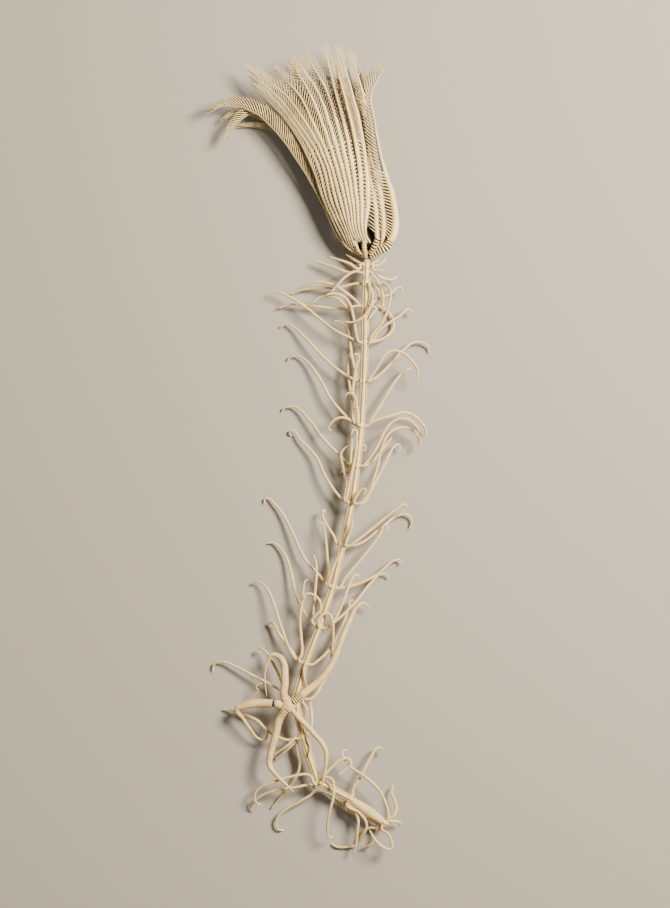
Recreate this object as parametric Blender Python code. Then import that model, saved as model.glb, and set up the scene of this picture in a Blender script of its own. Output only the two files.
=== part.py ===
"""Stalked sea lily skeleton (crinoid) lying on its side, with a brittle star gripping its stem.

Metres, +Z up. +Y runs along the stem to the tips of the crown. Driving dimensions are in millimetres
below and are turned into metres by MM. Each whorl of cirri, stem section, arm and part of the brittle
star is one closed solid with an object of its own.
"""
import math

import bmesh
import bpy
from mathutils import Vector

MM = 0.001

# ---- driving dimensions, mm ------------------------------------------------------------------------
GAP = 0.3                # clear gap kept between two pieces
STEM_Z = 16.0            # height of the stem's axis over the surface, from the crown down to the bend
ROOT_Z = 12.5            # height of the axis at the broken root end
BEND_Y = -150.0          # below this the stem sinks from STEM_Z to ROOT_Z
STEM_R = 2.7             # stem radius
SWELL = 0.45             # extra radius half way along a stem section
LAST_SWELL = 1.6         # the same in the stout last section
NODAL_R = 3.1            # radius of a nodal, the columnal that carries the cirri
NODAL_H = 4.4            # its length along the stem
NECK = 4.6               # how far the first one reaches up to the cup
CIRRUS_R = (1.15, 1.1, 0.6)       # cirrus radius at root, middle and tip
STAR_XY = (-23.6, -202.4)         # centre of the brittle star's disc
STAR_Z = 22.4
STAR_R = 5.8
STAR_H = 5.2
CUP_XY = (38.2, 152.5)            # centre of the cup's base
CUP_Z = 16.6
CROWN_Z = 17.5                    # height of the crown's axis
CROWN_D = 15.5                    # its half depth over the axis
FLOOR_CLEAR = 1.0                 # lowest centre line of an arm, whose back is then flat on the surface
ARM_R = 1.15                      # half width of an arm's back
VANE_IN = 4.6                     # how far the pinnules reach inward from the arm's back
# How far it reaches at each point where an arm is seen from its side or runs close under others.
VANES = {
    0: (0, 1.8, 4.6, 4.6, 8, 8, 6.4, 1),
    12: (0, 1.5, 3, 3, 3, 3, 2.4, 0.6),
    13: (0, 1.5, 3, 3, 3, 3, 2.4, 0.6),
    14: (0, 2, 5, 6.5, 4, 4, 4, 0.6),
    17: (0, 1.5, 3, 4, 4.6, 6.5, 5.2, 0.8),
    18: (0, 1.5, 3, 4, 4.6, 6.5, 5.2, 0.8),
    19: (0, 1.5, 3, 4, 4.6, 6.5, 5.2, 0.8),
}
VANE_HALF = 1.3                   # most half width of the fringe of those arms

# Every whorl from the crown down: x, y of the nodal, then its cirri. A cirrus has its height half way
# and at the tip, then the points it passes through, as offsets from the nodal.
WHORLS = (
    (38.4, 147.2, (
        (13, 8, (-8, -5), (-28, -1), (-42, 4)),
        (18, 15, (-5, -3), (-14, 1), (-30, 6.5)),
        (13, 11, (-5, 1), (-10.5, 4.5), (-17, 9)),
        (19, 22, (4.5, -3), (11, -5.3), (15, -5)),
        (16, 15, (6, -1), (12, 1.5), (15.6, 6)),
        (11, 9, (5, 1.5), (11, 4)))),
    (38.0, 140.8, (
        (21, 21, (-7.5, 1), (-16, -3), (-22.5, -9.5), (-28, -16)),
        (12, 7, (8.5, -2), (15, -4.5), (21, -5), (25.5, -2)),
        (21, 18, (5.5, -2), (9, -7), (13, -18), (13.2, -26), (12.5, -36)))),
    (37.8, 132.0, (
        (9, 2, (-7, 0.5), (-21, -2.5), (-41, -3), (-52, -4.5), (-60.5, -8)),
        (24, 22, (3, -3), (5.2, -9), (4.4, -15.5), (-1.3, -25.5), (-10, -30.6), (-17.5, -30)),
        (12, 9, (6.5, -2), (9.6, -5), (10, -14)))),
    (37.2, 114.4, (
        (16, 12, (-5, 1.3), (-15, 10.3), (-26, 17), (-40, 19.2), (-45.5, 18)),
        (11, 5, (-14, -2), (-43, 0.4), (-60, 1.5), (-69.5, -1.5)),
        (21, 20, (-14, -0.5), (-23, 6.3), (-30, 7.5), (-37.5, 5.8), (-41, 2)),
        (14, 9, (6.7, 3), (20, 10), (27, 15), (29.3, 13), (27, 9.6)),
        (20, 22, (5, -0.5), (8.5, -2), (6.7, -5.6), (2.4, -10.8)))),
    (36.8, 85.6, (
        (21, 27, (-6.6, 6), (-9, 20), (-13, 32), (-20, 37.5), (-26, 38.2), (-31, 36.8)),
        (15, 10, (-8.4, 2), (-23.4, 9.4), (-45.5, 26.7), (-59.6, 36.2), (-69.7, 40.2), (-74.2, 39)),
        (14, 6, (10, 7.6), (29.3, 22.3), (35, 26.7), (37.5, 24), (37, 21)),
        (5, 4, (8, 0.7), (19, 6.3), (23.2, 13.7), (20, 23.2), (12, 29.3), (8, 30.6)),
        (23, 28, (6, 5.6), (14, 16), (19.5, 31), (20.2, 40), (18.4, 44), (15.4, 46.6), (11.6, 46.4)))),
    (35.8, 55.0, (
        (11, 2, (-12.6, 3.8), (-28.1, 15.3), (-44.9, 32.8), (-56.1, 43.4), (-61.8, 45.3), (-67.1, 42.3)),
        (13, 8, (-5.6, 4.8), (-9, 18.1), (-11.2, 34.8), (-13.1, 41.8), (-17.1, 46), (-21.3, 47.8), (-24.2, 46.4)),
        (24, 16, (6.2, 3.2), (12.4, 12.8), (18.4, 21.8), (27.4, 23.4), (37.9, 16), (43, 7.3), (42, -2.2)),
        (10, 2, (8.8, 1.8), (22.6, 14.4), (32.8, 25.8), (43, 31.3), (51.6, 27.8), (52.7, 22.1)))),
    (34.0, 19.8, (
        (10, 2, (-12.2, 7.2), (-23.5, 20.2), (-34.7, 39.9), (-46, 53.2), (-51.5, 55.2), (-57.7, 53.2), (-58.6, 50.8)),
        (18, 14, (-9.2, 4.2), (-17.8, 5.6), (-24.8, 0.4), (-25.7, -3.3), (-23, -4.2)),
        (23, 24, (-2.5, 6.2), (-3.5, 14.2), (-5.5, 23), (-8.3, 25.2), (-11, 25), (-12.8, 22.4)),
        (21, 27, (-6.6, 11.2), (-6.6, 28.2), (-3, 50.2), (-1.5, 53.9), (-3.8, 56.2), (-6.4, 55.2)),
        (13, 9, (-6.4, 17.2), (-9.8, 34.8), (-10.6, 45.2), (-8.8, 58.2)),
        (12, 7, (8, 4.2), (16.7, 17.6), (27, 34.8), (36, 44), (40.7, 45.2)),
        (14, 3, (7.4, 1.8), (24.8, 7.7), (34, 10), (41.4, 7.7), (47.8, 2.2), (51.4, -4.8), (47.8, -12.4)))),
    (30.6, -12.2, (
        (9, 2, (-13.1, 7.6), (-26, 20.4), (-37.8, 36), (-48.8, 46.2), (-54.4, 46.6), (-58.8, 44.8), (-59.5, 42)),
        (10, 8, (-6.8, -3.8), (-9.8, -3.4), (-13.4, -6.2)),
        (22, 26, (-4.8, 7.2), (-4.6, 12.2), (-4, 22.2)),
        (21, 20, (7.2, 2), (15.2, 13.2), (23.6, 29.6), (29.2, 35.2), (36.4, 37), (43.8, 34.2), (48.4, 25.2), (44.2, 23.6)),
        (10, 8, (9.9, 1.2), (19, 11.2), (28.2, 22.6)),
        (9, 9, (2, 8), (4.5, 15.5), (6.3, 15.8), (7, 13), (5, 10.6)))),
    (26.4, -42.0, (
        (9, 2, (-9.8, 5.2), (-20.8, 20.8), (-28.2, 36.5), (-40.2, 49.4), (-48.2, 57.6), (-49.4, 55.3), (-47, 53)),
        (14, 21, (-4.3, 14.4), (-7, 29.1), (-8.5, 38.3), (-6.2, 42.8), (-1.6, 46.1)),
        (22, 25, (-2.5, 10.8), (0.2, 24.6), (3, 38.3), (3.9, 50.2), (2.1, 58.1), (-0.6, 53.3)),
        (21, 8, (9.4, 1.6), (18.6, 22.8), (25, 46.6), (28.7, 53.8), (37, 59.4), (49, 57.6), (54.5, 47.8),
         (49, 41.5)),
        (12, 6, (7.6, -1.2), (16.8, 12.6), (26, 30), (34.2, 44.8), (37.2, 46.6), (38.4, 40.2)),
        (25, 26, (3, 4.3), (10.4, 11.2), (11.2, 9.6), (8.4, 6.8)))),
    (19.2, -75.2, (
        (12, 9, (-6.3, 5.4), (-14, 18.2), (-16, 24), (-15.2, 27.4), (-13.2, 24.2)),
        (23, 26, (3, 3), (6.6, 12), (8, 20)),
        (18, 14, (9.3, 1.7), (25.8, 14.6), (44.2, 29.3), (48.5, 32), (50.6, 31), (45.5, 25)),
        (8, 2, (12, 0), (30.4, 12.7), (44, 22.8), (50.6, 23.8), (55.2, 20), (53.4, 12)))),
    (11.2, -108.4, (
        (8, 2, (-10.2, 8.3), (-22, 21.8), (-31.4, 41.4), (-40.6, 58.8), (-46, 65), (-51, 69.6), (-54, 69),
         (-54, 65)),
        (15, 16, (-3.2, 12.4), (-4, 22), (-6.6, 45), (-8.2, 50.5), (-10, 49)),
        (14, 14, (10, 6.3), (24.6, 23.8), (38.4, 42.2), (42, 49), (43.8, 46.5), (42.6, 43.2)),
        (10, 3, (13, -0.4), (32.4, 7.3), (51.8, 20.9), (54.7, 19.4), (53.2, 16)),
        (23, 27, (-1.5, 9.2), (2.8, 20.4), (8.4, 31.6)))),
    (0.8, -140.0, (
        (8, 2, (-7.6, 5), (-17.3, 21.4), (-23, 43.8), (-26, 53.4), (-31, 61.2), (-37.7, 66), (-42, 65)),
        (19, 16, (-4.7, 9.8), (-3.3, 29.2), (-2.3, 47.7), (-4.6, 57.4)),
        (24, 26, (-5.7, 4), (-3.8, 8), (0.2, 12), (1, 17.6), (-2, 23.4), (-8.6, 26.3), (-11.6, 24.8),
         (-10.8, 21.2)),
        (22, 12, (2, 8.9), (7, 10.3), (9.8, 6), (10.8, -9.5), (10, -19), (8.9, -29)),
        (18, 12, (11.8, 5), (19.5, 21.4), (26.3, 38), (29.2, 41), (32, 39)),
        (11, 3, (11.8, 3), (29.2, 19.5), (42.8, 36), (49.6, 41), (54.4, 40), (55.4, 36.5)))),
    (-10.5, -169.2, (
        (14, 3, (-8.9, 5), (-18.6, 27.4), (-26.4, 50.6), (-31.1, 59.4), (-37.1, 63.8), (-43.8, 62.3)),
        (8, 3, (-9.9, 8), (-21.5, 23.5), (-27.3, 31.3), (-28.9, 30.5), (-25.6, 25.4)),
        (17, 18, (-2.1, 7), (-3.1, 19.7), (-4.1, 34.2), (-2.1, 48.7), (0.7, 66), (2.7, 66)),
        (14, 7, (9.5, 1.2), (20.2, 12), (26.9, 23.5), (31.9, 35), (34.9, 45), (36.9, 49.5), (39.5, 45.8)),
        (21, 16, (-0.8, -3.5), (-0.3, -13), (1.6, -19.5)))),
    (-18.4, -197.6, (
        (8, 2, (-10.7, 5.4), (-35.4, 18.6), (-46.7, 24.2), (-57.9, 28.2), (-64.7, 26.6), (-65.8, 19.8)),
        (12, 6, (-8.4, 7.2), (-15.6, 23.8), (-25.4, 38.4), (-28.6, 39.4), (-29.6, 34.6)),
        (10, 5, (12.6, -0.4), (20.3, 9.3), (28.1, 23.8), (32.9, 33.6)),
        (14, 12, (5.6, -2), (8.8, -8), (8.9, -12), (7.4, -17.6)))),
    (-12.8, -228.0, (
        (16, 13, (-5.2, -0.8), (-11.9, -7), (-23.2, -14.8)),
        (9, 5, (-7.2, -5.8), (-14.2, -12.8), (-22.2, -19.4)),
        (10, 2, (-11.2, -2.8), (-18.6, -0.8), (-28.7, 5.2), (-35.5, 12), (-47.8, 17.6), (-58.2, 20.8), (-64.6, 20.4)),
        (11, 8, (3.8, 1.9), (6.8, 6.4), (7.4, 17.6), (5.4, 31.2)),
        (18, 19, (3.8, -2.6), (6.1, -7), (5, -16.1)),
        (7, 2, (-4.2, -8.8), (-2.2, -23.8), (-8.6, -38.5), (-18.6, -50.8), (-25.2, -58.8)))),
    (-0.8, -264.0, (
        (16, 8, (-6, 5.4), (-19.4, 4.8), (-38.5, -1.4), (-46, -5), (-49.8, -10.3), (-48.6, -17), (-44, -18.8)),
        (12, 2, (-4.8, -2.5), (-19.4, -4.7), (-35, -7.5), (-44.2, -11.4), (-51, -17), (-53, -22), (-51.4, -25)),
        (7, 2, (-2.6, -7), (-13.8, -16), (-25, -22.7), (-31.8, -29.4), (-33, -35), (-30.6, -39.5),
         (-26.2, -39.5)),
        (22, 10, (6.4, 4.2), (12, 2), (13, -4), (12.6, -11.4), (9.8, -22.7), (8, -36.2), (9.8, -45),
         (12.6, -42.9)),
        (17, 20, (7.5, 7.6), (19.8, 18.2), (24.3, 18.8), (26.6, 15.4), (23.2, 11), (16.5, 6)))),
    (25.2, -277.6, (
        (12, 6, (2, 6), (8.5, 17.8), (16.3, 32.4), (22, 40.3), (24.7, 40), (25.3, 34.6)),
        (13, 8, (2, -7), (6.2, -15.8), (5.7, -26), (4.6, -37), (1.7, -45)),
        (14, 8, (8, -10), (13, -20), (10.7, -29.3), (8.5, -35)),
        (8, 6, (-4, -3), (-5, -6), (-1.7, -11.4)))),
    (52.8, -296.8, (
        (18, 13, (2.7, 7.8), (0, 18), (-5.7, 28), (-17, 38.2), (-27, 45), (-31.5, 50.5), (-33.8, 56),
         (-29.5, 59)),
        (10, 4, (5, 4), (9, 10), (7.8, 18), (5.5, 23.6), (7.2, 29.8)),
        (10, 6, (5, 1), (9, 1), (12.3, -1), (11, -3)),
        (16, 19, (2.8, -8.8), (5.5, -15.7), (5, -20.2), (-1.2, -19), (-8, -12.3), (-12.4, -4.5)),
        (8, 4, (-4.6, -3.4), (-6.8, -11.2), (-11.3, -18), (-18, -20.8)),
        (4, 2, (-14.8, -5.6), (-19.6, -13.6), (-23.5, -19), (-30.4, -20.5), (-39.4, -20), (-42.7, -17)),
        (5, 2, (-11.6, 2), (-22.8, 6), (-34, 13), (-43.6, 20.6), (-50.8, 23.6), (-57.2, 22)))),
)
# The brittle star's arms: height half way and at the tip, then points as offsets from the disc.
STAR_ARMS = (
    (20, 12, (-3.5, 6.4), (-3, 19), (-5.5, 36.5), (-9.4, 39.3), (-13.3, 39.8), (-16.2, 35.4), (-19, 23), (-17.6, 6)),
    (21, 8, (6, 4.5), (13, 10.4), (26.4, 21.6), (35, 34.4), (41.6, 50.4), (49, 68), (54.4, 77.6), (59.2, 80.4),
     (65, 75.2)),
    (15, 8, (-11, 1), (-28, 1), (-36, -1.2), (-41, -4), (-37, -10.4), (-30.3, -20.3), (-24.7, -27),
     (-19, -28.2), (-17.2, -24.8), (-19, -17)),
    (20, 19, (-3, -4), (-7.8, -12.5), (-10, -22.6), (-15, -41.7), (-15, -48.4), (-11.2, -54), (-2.2, -63),
     (4, -69)),
    (22, 21, (5.6, -7), (19, -21.4), (29.2, -35), (29.8, -45), (28, -56), (25.8, -67.4)),
)
# Their radii at the same points, the first at the disc.
STAR_GIRTH = (
    (3.0, 3.1, 2.6, 2.1, 1.7, 1.0, 0.6, 0.5),
    (3.1, 3.1, 2.8, 2.5, 2.1, 1.8, 1.5, 1.1, 0.6),
    (3.2, 3.6, 3.1, 2.2, 1.5, 1.2, 1.0, 0.9, 0.8, 0.6, 0.5),
    (3.1, 3.2, 3.0, 2.6, 2.2, 1.8, 1.1, 0.6),
    (2.1, 2.2, 1.9, 1.5, 1.0, 0.5),
)

# Crown: left and right edge of the closed bundle of arms at rising levels, and its half depth there
# as a fraction of CROWN_D.
LEVELS = (
    ((15.0, 171.0), (58.8, 169.5), 0.72),
    ((2.8, 196.5), (59.4, 195.5), 0.98),
    ((-11.0, 228.0), (50.2, 228.0), 1.0),
    ((-27.5, 260.5), (43.8, 262.0), 0.9),
    ((-46.5, 283.5), (41.6, 283.0), 0.72),
)
# Front arms, left to right: where each crosses the levels, then its tip. The first is the long one that
# curls out to the left above the second level.
FRONT_ARMS = (
    (15.0, 2.8),
    (17.4, 5.6, -5.4, -24.2, -45.6, (-54.5, 291.5)),
    (19.8, 8.2, -1.0, -20.2, -39.8, (-57, 298.5)),
    (22.0, 11.2, 2.6, -16.4, -35.0, (-60, 305)),
    (23.8, 14.6, 6.0, -10.8, -28.0, (-51, 300.5)),
    (25.6, 18.0, 9.2, -5.0, -16.8, (-36, 303)),
    (27.4, 21.4, 13.2, 2.0, -7.4, (-23, 311)),
    (29.2, 24.6, 17.2, 7.6, -0.4, (-18, 312)),
    (31.2, 27.4, 21.6, 13.6, 6.8, (-11.5, 317.5)),
    (33.4, 30.6, 26.2, 19.2, 13.4, (4, 323)),
    (35.6, 34.2, 31.6, 25.2, 19.8, (12.5, 314)),
    (37.6, 39.0, 36.8, 31.8, 26.4, (15.5, 321.5)),
    (46.2, 44.4, 39.8, 36.0, 31.6, (41, 305)),
    (50.6, 49.6, 43.4, 39.2, 35.0, (25.5, 318)),
    (58.8, 59.4, 50.2, 43.8, 41.6, (53.5, 308)),
)
# How far two of them dip under their neighbours, at the levels, half way to the tip and at the tip.
SUNK = {12: (0, 3, 18.5, 15.5, 12, 10, 8), 13: (0, 1, 12.5, 8, 2, 0, 0)}
# The four arms that curl away to the left, above the second level: the front one, then those below it.
CURL_ARMS = (
    ((-17.2, 231), (-36.4, 256), (-54, 269.6), (-73, 273.6), (-89, 267)),
    ((-16.5, 233), (-33, 256), (-50, 268), (-65, 259.5), (-74.5, 243)),
    ((-13, 230), (-29, 253.5), (-48, 265), (-64, 268), (-78.5, 261.5)),
    ((-10, 227), (-25, 249), (-38, 255.5), (-52, 258), (-65, 258)),
)
CURL_Z = (18.5, 13.5, 8.5, 3.6)
# The arms of the underside, right to left: where they lie between the edges, and how far below the axis.
BACK_ARMS = ((0.72, 0.95), (0.4, 1.0))
# The five rays that the arms grow from: the arms of each, and where its end lies, as an offset from the
# cup's centre with its height.
RAYS = (
    ((0, 1, 2, 3, 4, 5), (-13.0, 9.0, 19.5)),
    ((6, 7, 8, 9, 10, 11), (-2.0, 11.5, 24.0)),
    ((12, 13, 14), (10.5, 8.0, 19.5)),
    ((15, 16), (4.5, 9.5, 6.5)),
    ((17, 18, 19), (-8.0, 9.0, 10.0)),
)
RAY_R = 2.3
CUP_R = (3.2, 5.2)       # cup radius at its base and at its rim
CUP_H = 6.5

IVORY = (0.74, 0.62, 0.44, 1.0)
TAN = (0.62, 0.47, 0.30, 1.0)
BROWN = (0.45, 0.31, 0.18, 1.0)


# ---- helpers ---------------------------------------------------------------------------------------
def clear():
    for item in list(bpy.data.objects):
        bpy.data.objects.remove(item, do_unlink=True)


def material(name, colour, roughness):
    made = bpy.data.materials.new(name)
    made.use_nodes = True
    shader = made.node_tree.nodes["Principled BSDF"]
    shader.inputs["Base Color"].default_value = colour
    shader.inputs["Roughness"].default_value = roughness
    shader.inputs["Metallic"].default_value = 0.0
    return made


def through(first, middle, last, t):
    """A smooth value that starts at first, passes middle half way and ends at last."""
    return (first * (1 - t) * (1 - 2 * t) + 4 * middle * t * (1 - t) + last * t * (2 * t - 1))


def limb_route(start, heights, offsets, radii, sprout=None):
    """Centre line and radii of a cirrus or star arm that starts at a point and never dips below the surface.

    heights are those half way and at the tip. sprout is where it leaves its nodal, square to the stem.
    """
    base = Vector(start)
    begin = sprout or base
    flat = [begin.xy] + [Vector((base.x + x, base.y + y)) for x, y in offsets]
    walked = [0.0]
    for a, b in zip(flat, flat[1:]):
        walked.append(walked[-1] + (b - a).length)
    route = []
    widths = []
    for p, w in zip(flat, walked):
        share = w / walked[-1]
        radius = through(radii[0], radii[1], radii[2], share)
        spot = Vector((p.x, p.y, through(begin.z, heights[0], heights[1], share)))
        if sprout:
            clear_stem(spot, radius)
        spot.z = max(spot.z, radius * 1.02)
        route.append(spot)
        widths.append(radius)
    if sprout:
        route.insert(0, base)
        widths.insert(0, widths[0])
    return route, widths


def clear_stem(spot, radius):
    """Moves a point of a cirrus straight out from the stem's axis where it would run into the stem."""
    nearest = min((closest(spot, a, b) for a, b in zip(stem_spots(), stem_spots()[1:])),
                  key=lambda p: (p - spot).length)
    out = spot - nearest
    least = STEM_R + SWELL + radius + 0.9
    if out.length < least:
        spot += out.normalized() * (least - out.length)


def closest(spot, a, b):
    share = (spot - a).dot(b - a) / (b - a).length_squared
    return a.lerp(b, min(max(share, 0), 1))


def stem_spots():
    return [Vector((x, y, stem_z(y))) for x, y, _ in WHORLS]


def sprout_point(spot, way, cirrus):
    """Where a cirrus leaves its nodal: out from the stem's axis, towards its first point and height."""
    middle, _, first = cirrus[:3]
    out = Vector((first[0], first[1], 0))
    out -= way * out.dot(way)
    out.z += (middle - spot.z) * 0.8
    return spot + out.normalized() * (NODAL_R + 1.5)


def stem_z(y):
    share = min(max((BEND_Y - y) / (BEND_Y - WHORLS[-1][1]), 0), 1)
    return STEM_Z + (ROOT_Z - STEM_Z) * share


def tubes(name, routes, resolution):
    """A mesh object of closed round tubes, one for each (points, radii), made from a bevelled curve."""
    curve = bpy.data.curves.new(name, "CURVE")
    curve.dimensions = "3D"
    curve.bevel_depth = MM
    curve.bevel_resolution = resolution
    curve.use_fill_caps = True
    for points, radii in routes:
        spline = curve.splines.new("POLY")
        spline.points.add(len(points) - 1)
        for spot, p, r in zip(spline.points, points, radii):
            spot.co = (p[0] * MM, p[1] * MM, p[2] * MM, 1)
            spot.radius = r
    holder = bpy.data.objects.new(name + "_curve", curve)
    bpy.context.scene.collection.objects.link(holder)
    bpy.context.view_layer.update()
    mesh = bpy.data.meshes.new_from_object(holder.evaluated_get(bpy.context.evaluated_depsgraph_get()))
    bpy.data.objects.remove(holder, do_unlink=True)
    bpy.data.curves.remove(curve)
    work = bmesh.new()
    work.from_mesh(mesh)
    bmesh.ops.remove_doubles(work, verts=work.verts, dist=1e-6)
    bmesh.ops.recalc_face_normals(work, faces=work.faces)
    work.to_mesh(mesh)
    work.free()
    made = bpy.data.objects.new(name, mesh)
    bpy.context.scene.collection.objects.link(made)
    return made


def loft(name, sections):
    """A closed skin over rings of points that all have the same count."""
    work = bmesh.new()
    rings = []
    for section in sections:
        verts = [work.verts.new(Vector(p) * MM) for p in section]
        edges = [work.edges.new((a, b)) for a, b in zip(verts, verts[1:] + verts[:1])]
        rings.append(edges)
    for low, high in zip(rings, rings[1:]):
        bmesh.ops.bridge_loops(work, edges=low + high)
    bmesh.ops.edgenet_fill(work, edges=rings[0])
    bmesh.ops.edgenet_fill(work, edges=rings[-1])
    bmesh.ops.triangulate(work, faces=work.faces)
    bmesh.ops.recalc_face_normals(work, faces=work.faces)
    mesh = bpy.data.meshes.new(name)
    work.to_mesh(mesh)
    work.free()
    made = bpy.data.objects.new(name, mesh)
    bpy.context.scene.collection.objects.link(made)
    return made


def join_solid(target, other):
    """Fuses other, whose own tubes may cross each other, into target with an exact union."""
    step = target.modifiers.new("union", "BOOLEAN")
    step.operation = "UNION"
    step.solver = "EXACT"
    step.use_self = True
    step.object = other
    bpy.context.view_layer.update()
    mesh = bpy.data.meshes.new_from_object(target.evaluated_get(bpy.context.evaluated_depsgraph_get()))
    target.modifiers.remove(step)
    target.data = mesh
    bpy.data.objects.remove(other, do_unlink=True)


def finish(made, home, skin):
    bpy.context.scene.collection.objects.unlink(made)
    home.objects.link(made)
    made.data.materials.clear()
    made.data.materials.append(skin)


# ---- stem ------------------------------------------------------------------------------------------
def stem_ways(spots):
    """The stem's direction between each nodal and the next, towards the root, with the first and last
    repeated so that nodal i has ways[i] above it and ways[i + 1] below it."""
    ways = [(b - a).normalized() for a, b in zip(spots, spots[1:])]
    return [ways[0]] + ways + [ways[-1]]


def nodal_reach(spots, i):
    """How far a nodal reaches up and down the stem: the crowded ones by the crown meet half way, and the
    first meets the cup."""
    reach = []
    for j in (i - 1, i + 1):
        if j < 0:
            reach.append(NECK)
        elif j < len(spots) and (spots[i] - spots[j]).length < 15:
            reach.append((spots[i] - spots[j]).length / 2 - GAP / 2)
        else:
            reach.append(NODAL_H / 2)
    return reach


def whorl(i, spots, ways):
    spot = spots[i]
    up, down = nodal_reach(spots, i)
    line = (spot - ways[i] * up, spot, spot + ways[i + 1] * down)
    body = tubes(f"whorl_{i + 1:02d}", [(line, (NODAL_R * 0.93, NODAL_R, NODAL_R * 0.93))], 2)
    square = (ways[i] + ways[i + 1]).normalized()
    routes = [limb_route(spot, cirrus[:2], cirrus[2:], CIRRUS_R, sprout_point(spot, square, cirrus))
              for cirrus in WHORLS[i][2]]
    join_solid(body, tubes("cirri", routes, 0))
    return body


def stem_section(i, spots, ways):
    """The stem between nodal i and the next one, a little stouter half way."""
    start = spots[i] + ways[i + 1] * (nodal_reach(spots, i)[1] + GAP)
    end = spots[i + 1] - ways[i + 1] * (nodal_reach(spots, i + 1)[0] + GAP)
    line = (start, (start + end) / 2, end)
    swell = LAST_SWELL if i == len(spots) - 2 else SWELL
    return tubes(f"stem_{i + 1:02d}", [(line, (STEM_R, STEM_R + swell, STEM_R))], 2)


# ---- crown -----------------------------------------------------------------------------------------
def arm_lines():
    """Centre line of every arm: 15 across the front from left to right, 2 behind from right to left,
    then the 3 lower curled arms at the left. All have the same number of points."""
    lines = []
    for k, crossings in enumerate(FRONT_ARMS):
        line = []
        for (left, right, depth), x in zip(LEVELS, crossings):
            u = min(max((x - left[0]) / (right[0] - left[0]), 0), 1)
            height = CROWN_Z + CROWN_D * depth * math.sin(math.pi * u) ** 0.8
            line.append(Vector((x, left[1] + (right[1] - left[1]) * u, height)))
        if k == 0:
            line += [Vector((x, y, CURL_Z[0])) for x, y in CURL_ARMS[0]]
        else:
            tip = Vector(crossings[-1])
            near = line[-1].xy.lerp(tip, 0.55)
            line.append(Vector((near.x, near.y, line[-1].z * 0.95)))
            line.append(Vector((tip.x, tip.y, line[-2].z * 0.85)))
            for spot, drop in zip(line, SUNK.get(k, (0,) * 7)):
                spot.z -= drop
        lines.append(line)
    for share, drop in BACK_ARMS:
        line = []
        for left, right, depth in LEVELS:
            spot = Vector(left).lerp(Vector(right), share)
            line.append(Vector((spot.x, spot.y, max(CROWN_Z - CROWN_D * depth * drop * 1.12, FLOOR_CLEAR))))
        last = line[-1]
        for rise in (14, 27):
            line.append(Vector((last.x + (share - 0.75) * rise, last.y + rise, FLOOR_CLEAR + rise * 0.06)))
        lines.append(line)
    for n in (3, 2, 1):
        low = LEVELS[0]
        wide = LEVELS[1]
        drop = n * 4.4
        line = [Vector((low[0][0] + n * 0.8, low[0][1], CROWN_Z - drop * 0.75)),
                Vector((wide[0][0] + n * 0.7, wide[0][1], CROWN_Z - drop))]
        line += [Vector((x, y, CURL_Z[n])) for x, y in CURL_ARMS[n]]
        lines.append(line)
    for members, end in RAYS:
        centre = Vector((CUP_XY[0] + end[0], CUP_XY[1] + end[1], end[2]))
        side = (lines[members[-1]][0] - lines[members[0]][0]).normalized()
        for i, k in enumerate(members):
            lines[k].insert(0, centre + side * (i - (len(members) - 1) / 2) * 1.9)
    return lines


def outward(k, line):
    """The way the back of an arm faces at each point: out from the crown's axis, and carried along with the
    arm where it curls away."""
    curled = k == 0 or k >= len(FRONT_ARMS) + len(BACK_ARMS)
    axis = [Vector((CUP_XY[0], CUP_XY[1], CUP_Z))]
    axis += [Vector(left).lerp(Vector(right), 0.5).to_3d() + Vector((0, 0, CROWN_Z))
             for left, right, _ in LEVELS]
    axis += [axis[-1] + (axis[-1] - axis[-2])] * 2
    last = len(line) - 1
    ways = []
    for j, spot in enumerate(line):
        ahead = (line[min(j + 1, last)] - line[max(j - 1, 0)]).normalized()
        out = ways[-1][1] if curled and j > 2 else spot - axis[j]
        if spot.z <= FLOOR_CLEAR:
            out = Vector((0, 0, -1))
        ways.append((ahead, (out - ahead * out.dot(ahead)).normalized()))
    return ways


def arm(k, lines):
    """The arm's back and its fringe of pinnules as one tapering vane, narrow outside and wide inside."""
    line = lines[k]
    left = lines[k - 1]
    right = lines[(k + 1) % len(lines)]
    sections = []
    for j, (spot, (ahead, out)) in enumerate(zip(line, outward(k, line))):
        side = ahead.cross(out)
        reach = (0.0, 0.4, 1.0, 1.0, 1.0, 1.0, 0.8, 0.12)[j]
        back = ARM_R * (0.55, 0.75, 1.0, 1.0, 0.9, 0.8, 0.6, 0.35)[j]
        deep = max(VANES[k][j] if k in VANES else VANE_IN * reach, 1.2 * back)
        most = VANE_HALF if k in VANES else 1.0 + 3.4 * reach
        part = 0.34 if j < 2 else 0.43
        wide_l = max(min(abs((left[j] - spot).dot(side)) * part, most), 0.4)
        wide_r = max(min(abs((right[j] - spot).dot(side)) * part, most), 0.4)
        ring = [spot + out * back - side * back * 0.8, spot + out * back + side * back * 0.8,
                spot - out * deep * 0.5 + side * wide_r, spot - out * deep,
                spot - out * deep * 0.5 - side * wide_l]
        sections.append([Vector((p.x, p.y, max(p.z, 0.0))) for p in ring])
    return loft(f"arm_{k + 1:02d}", sections)


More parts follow.
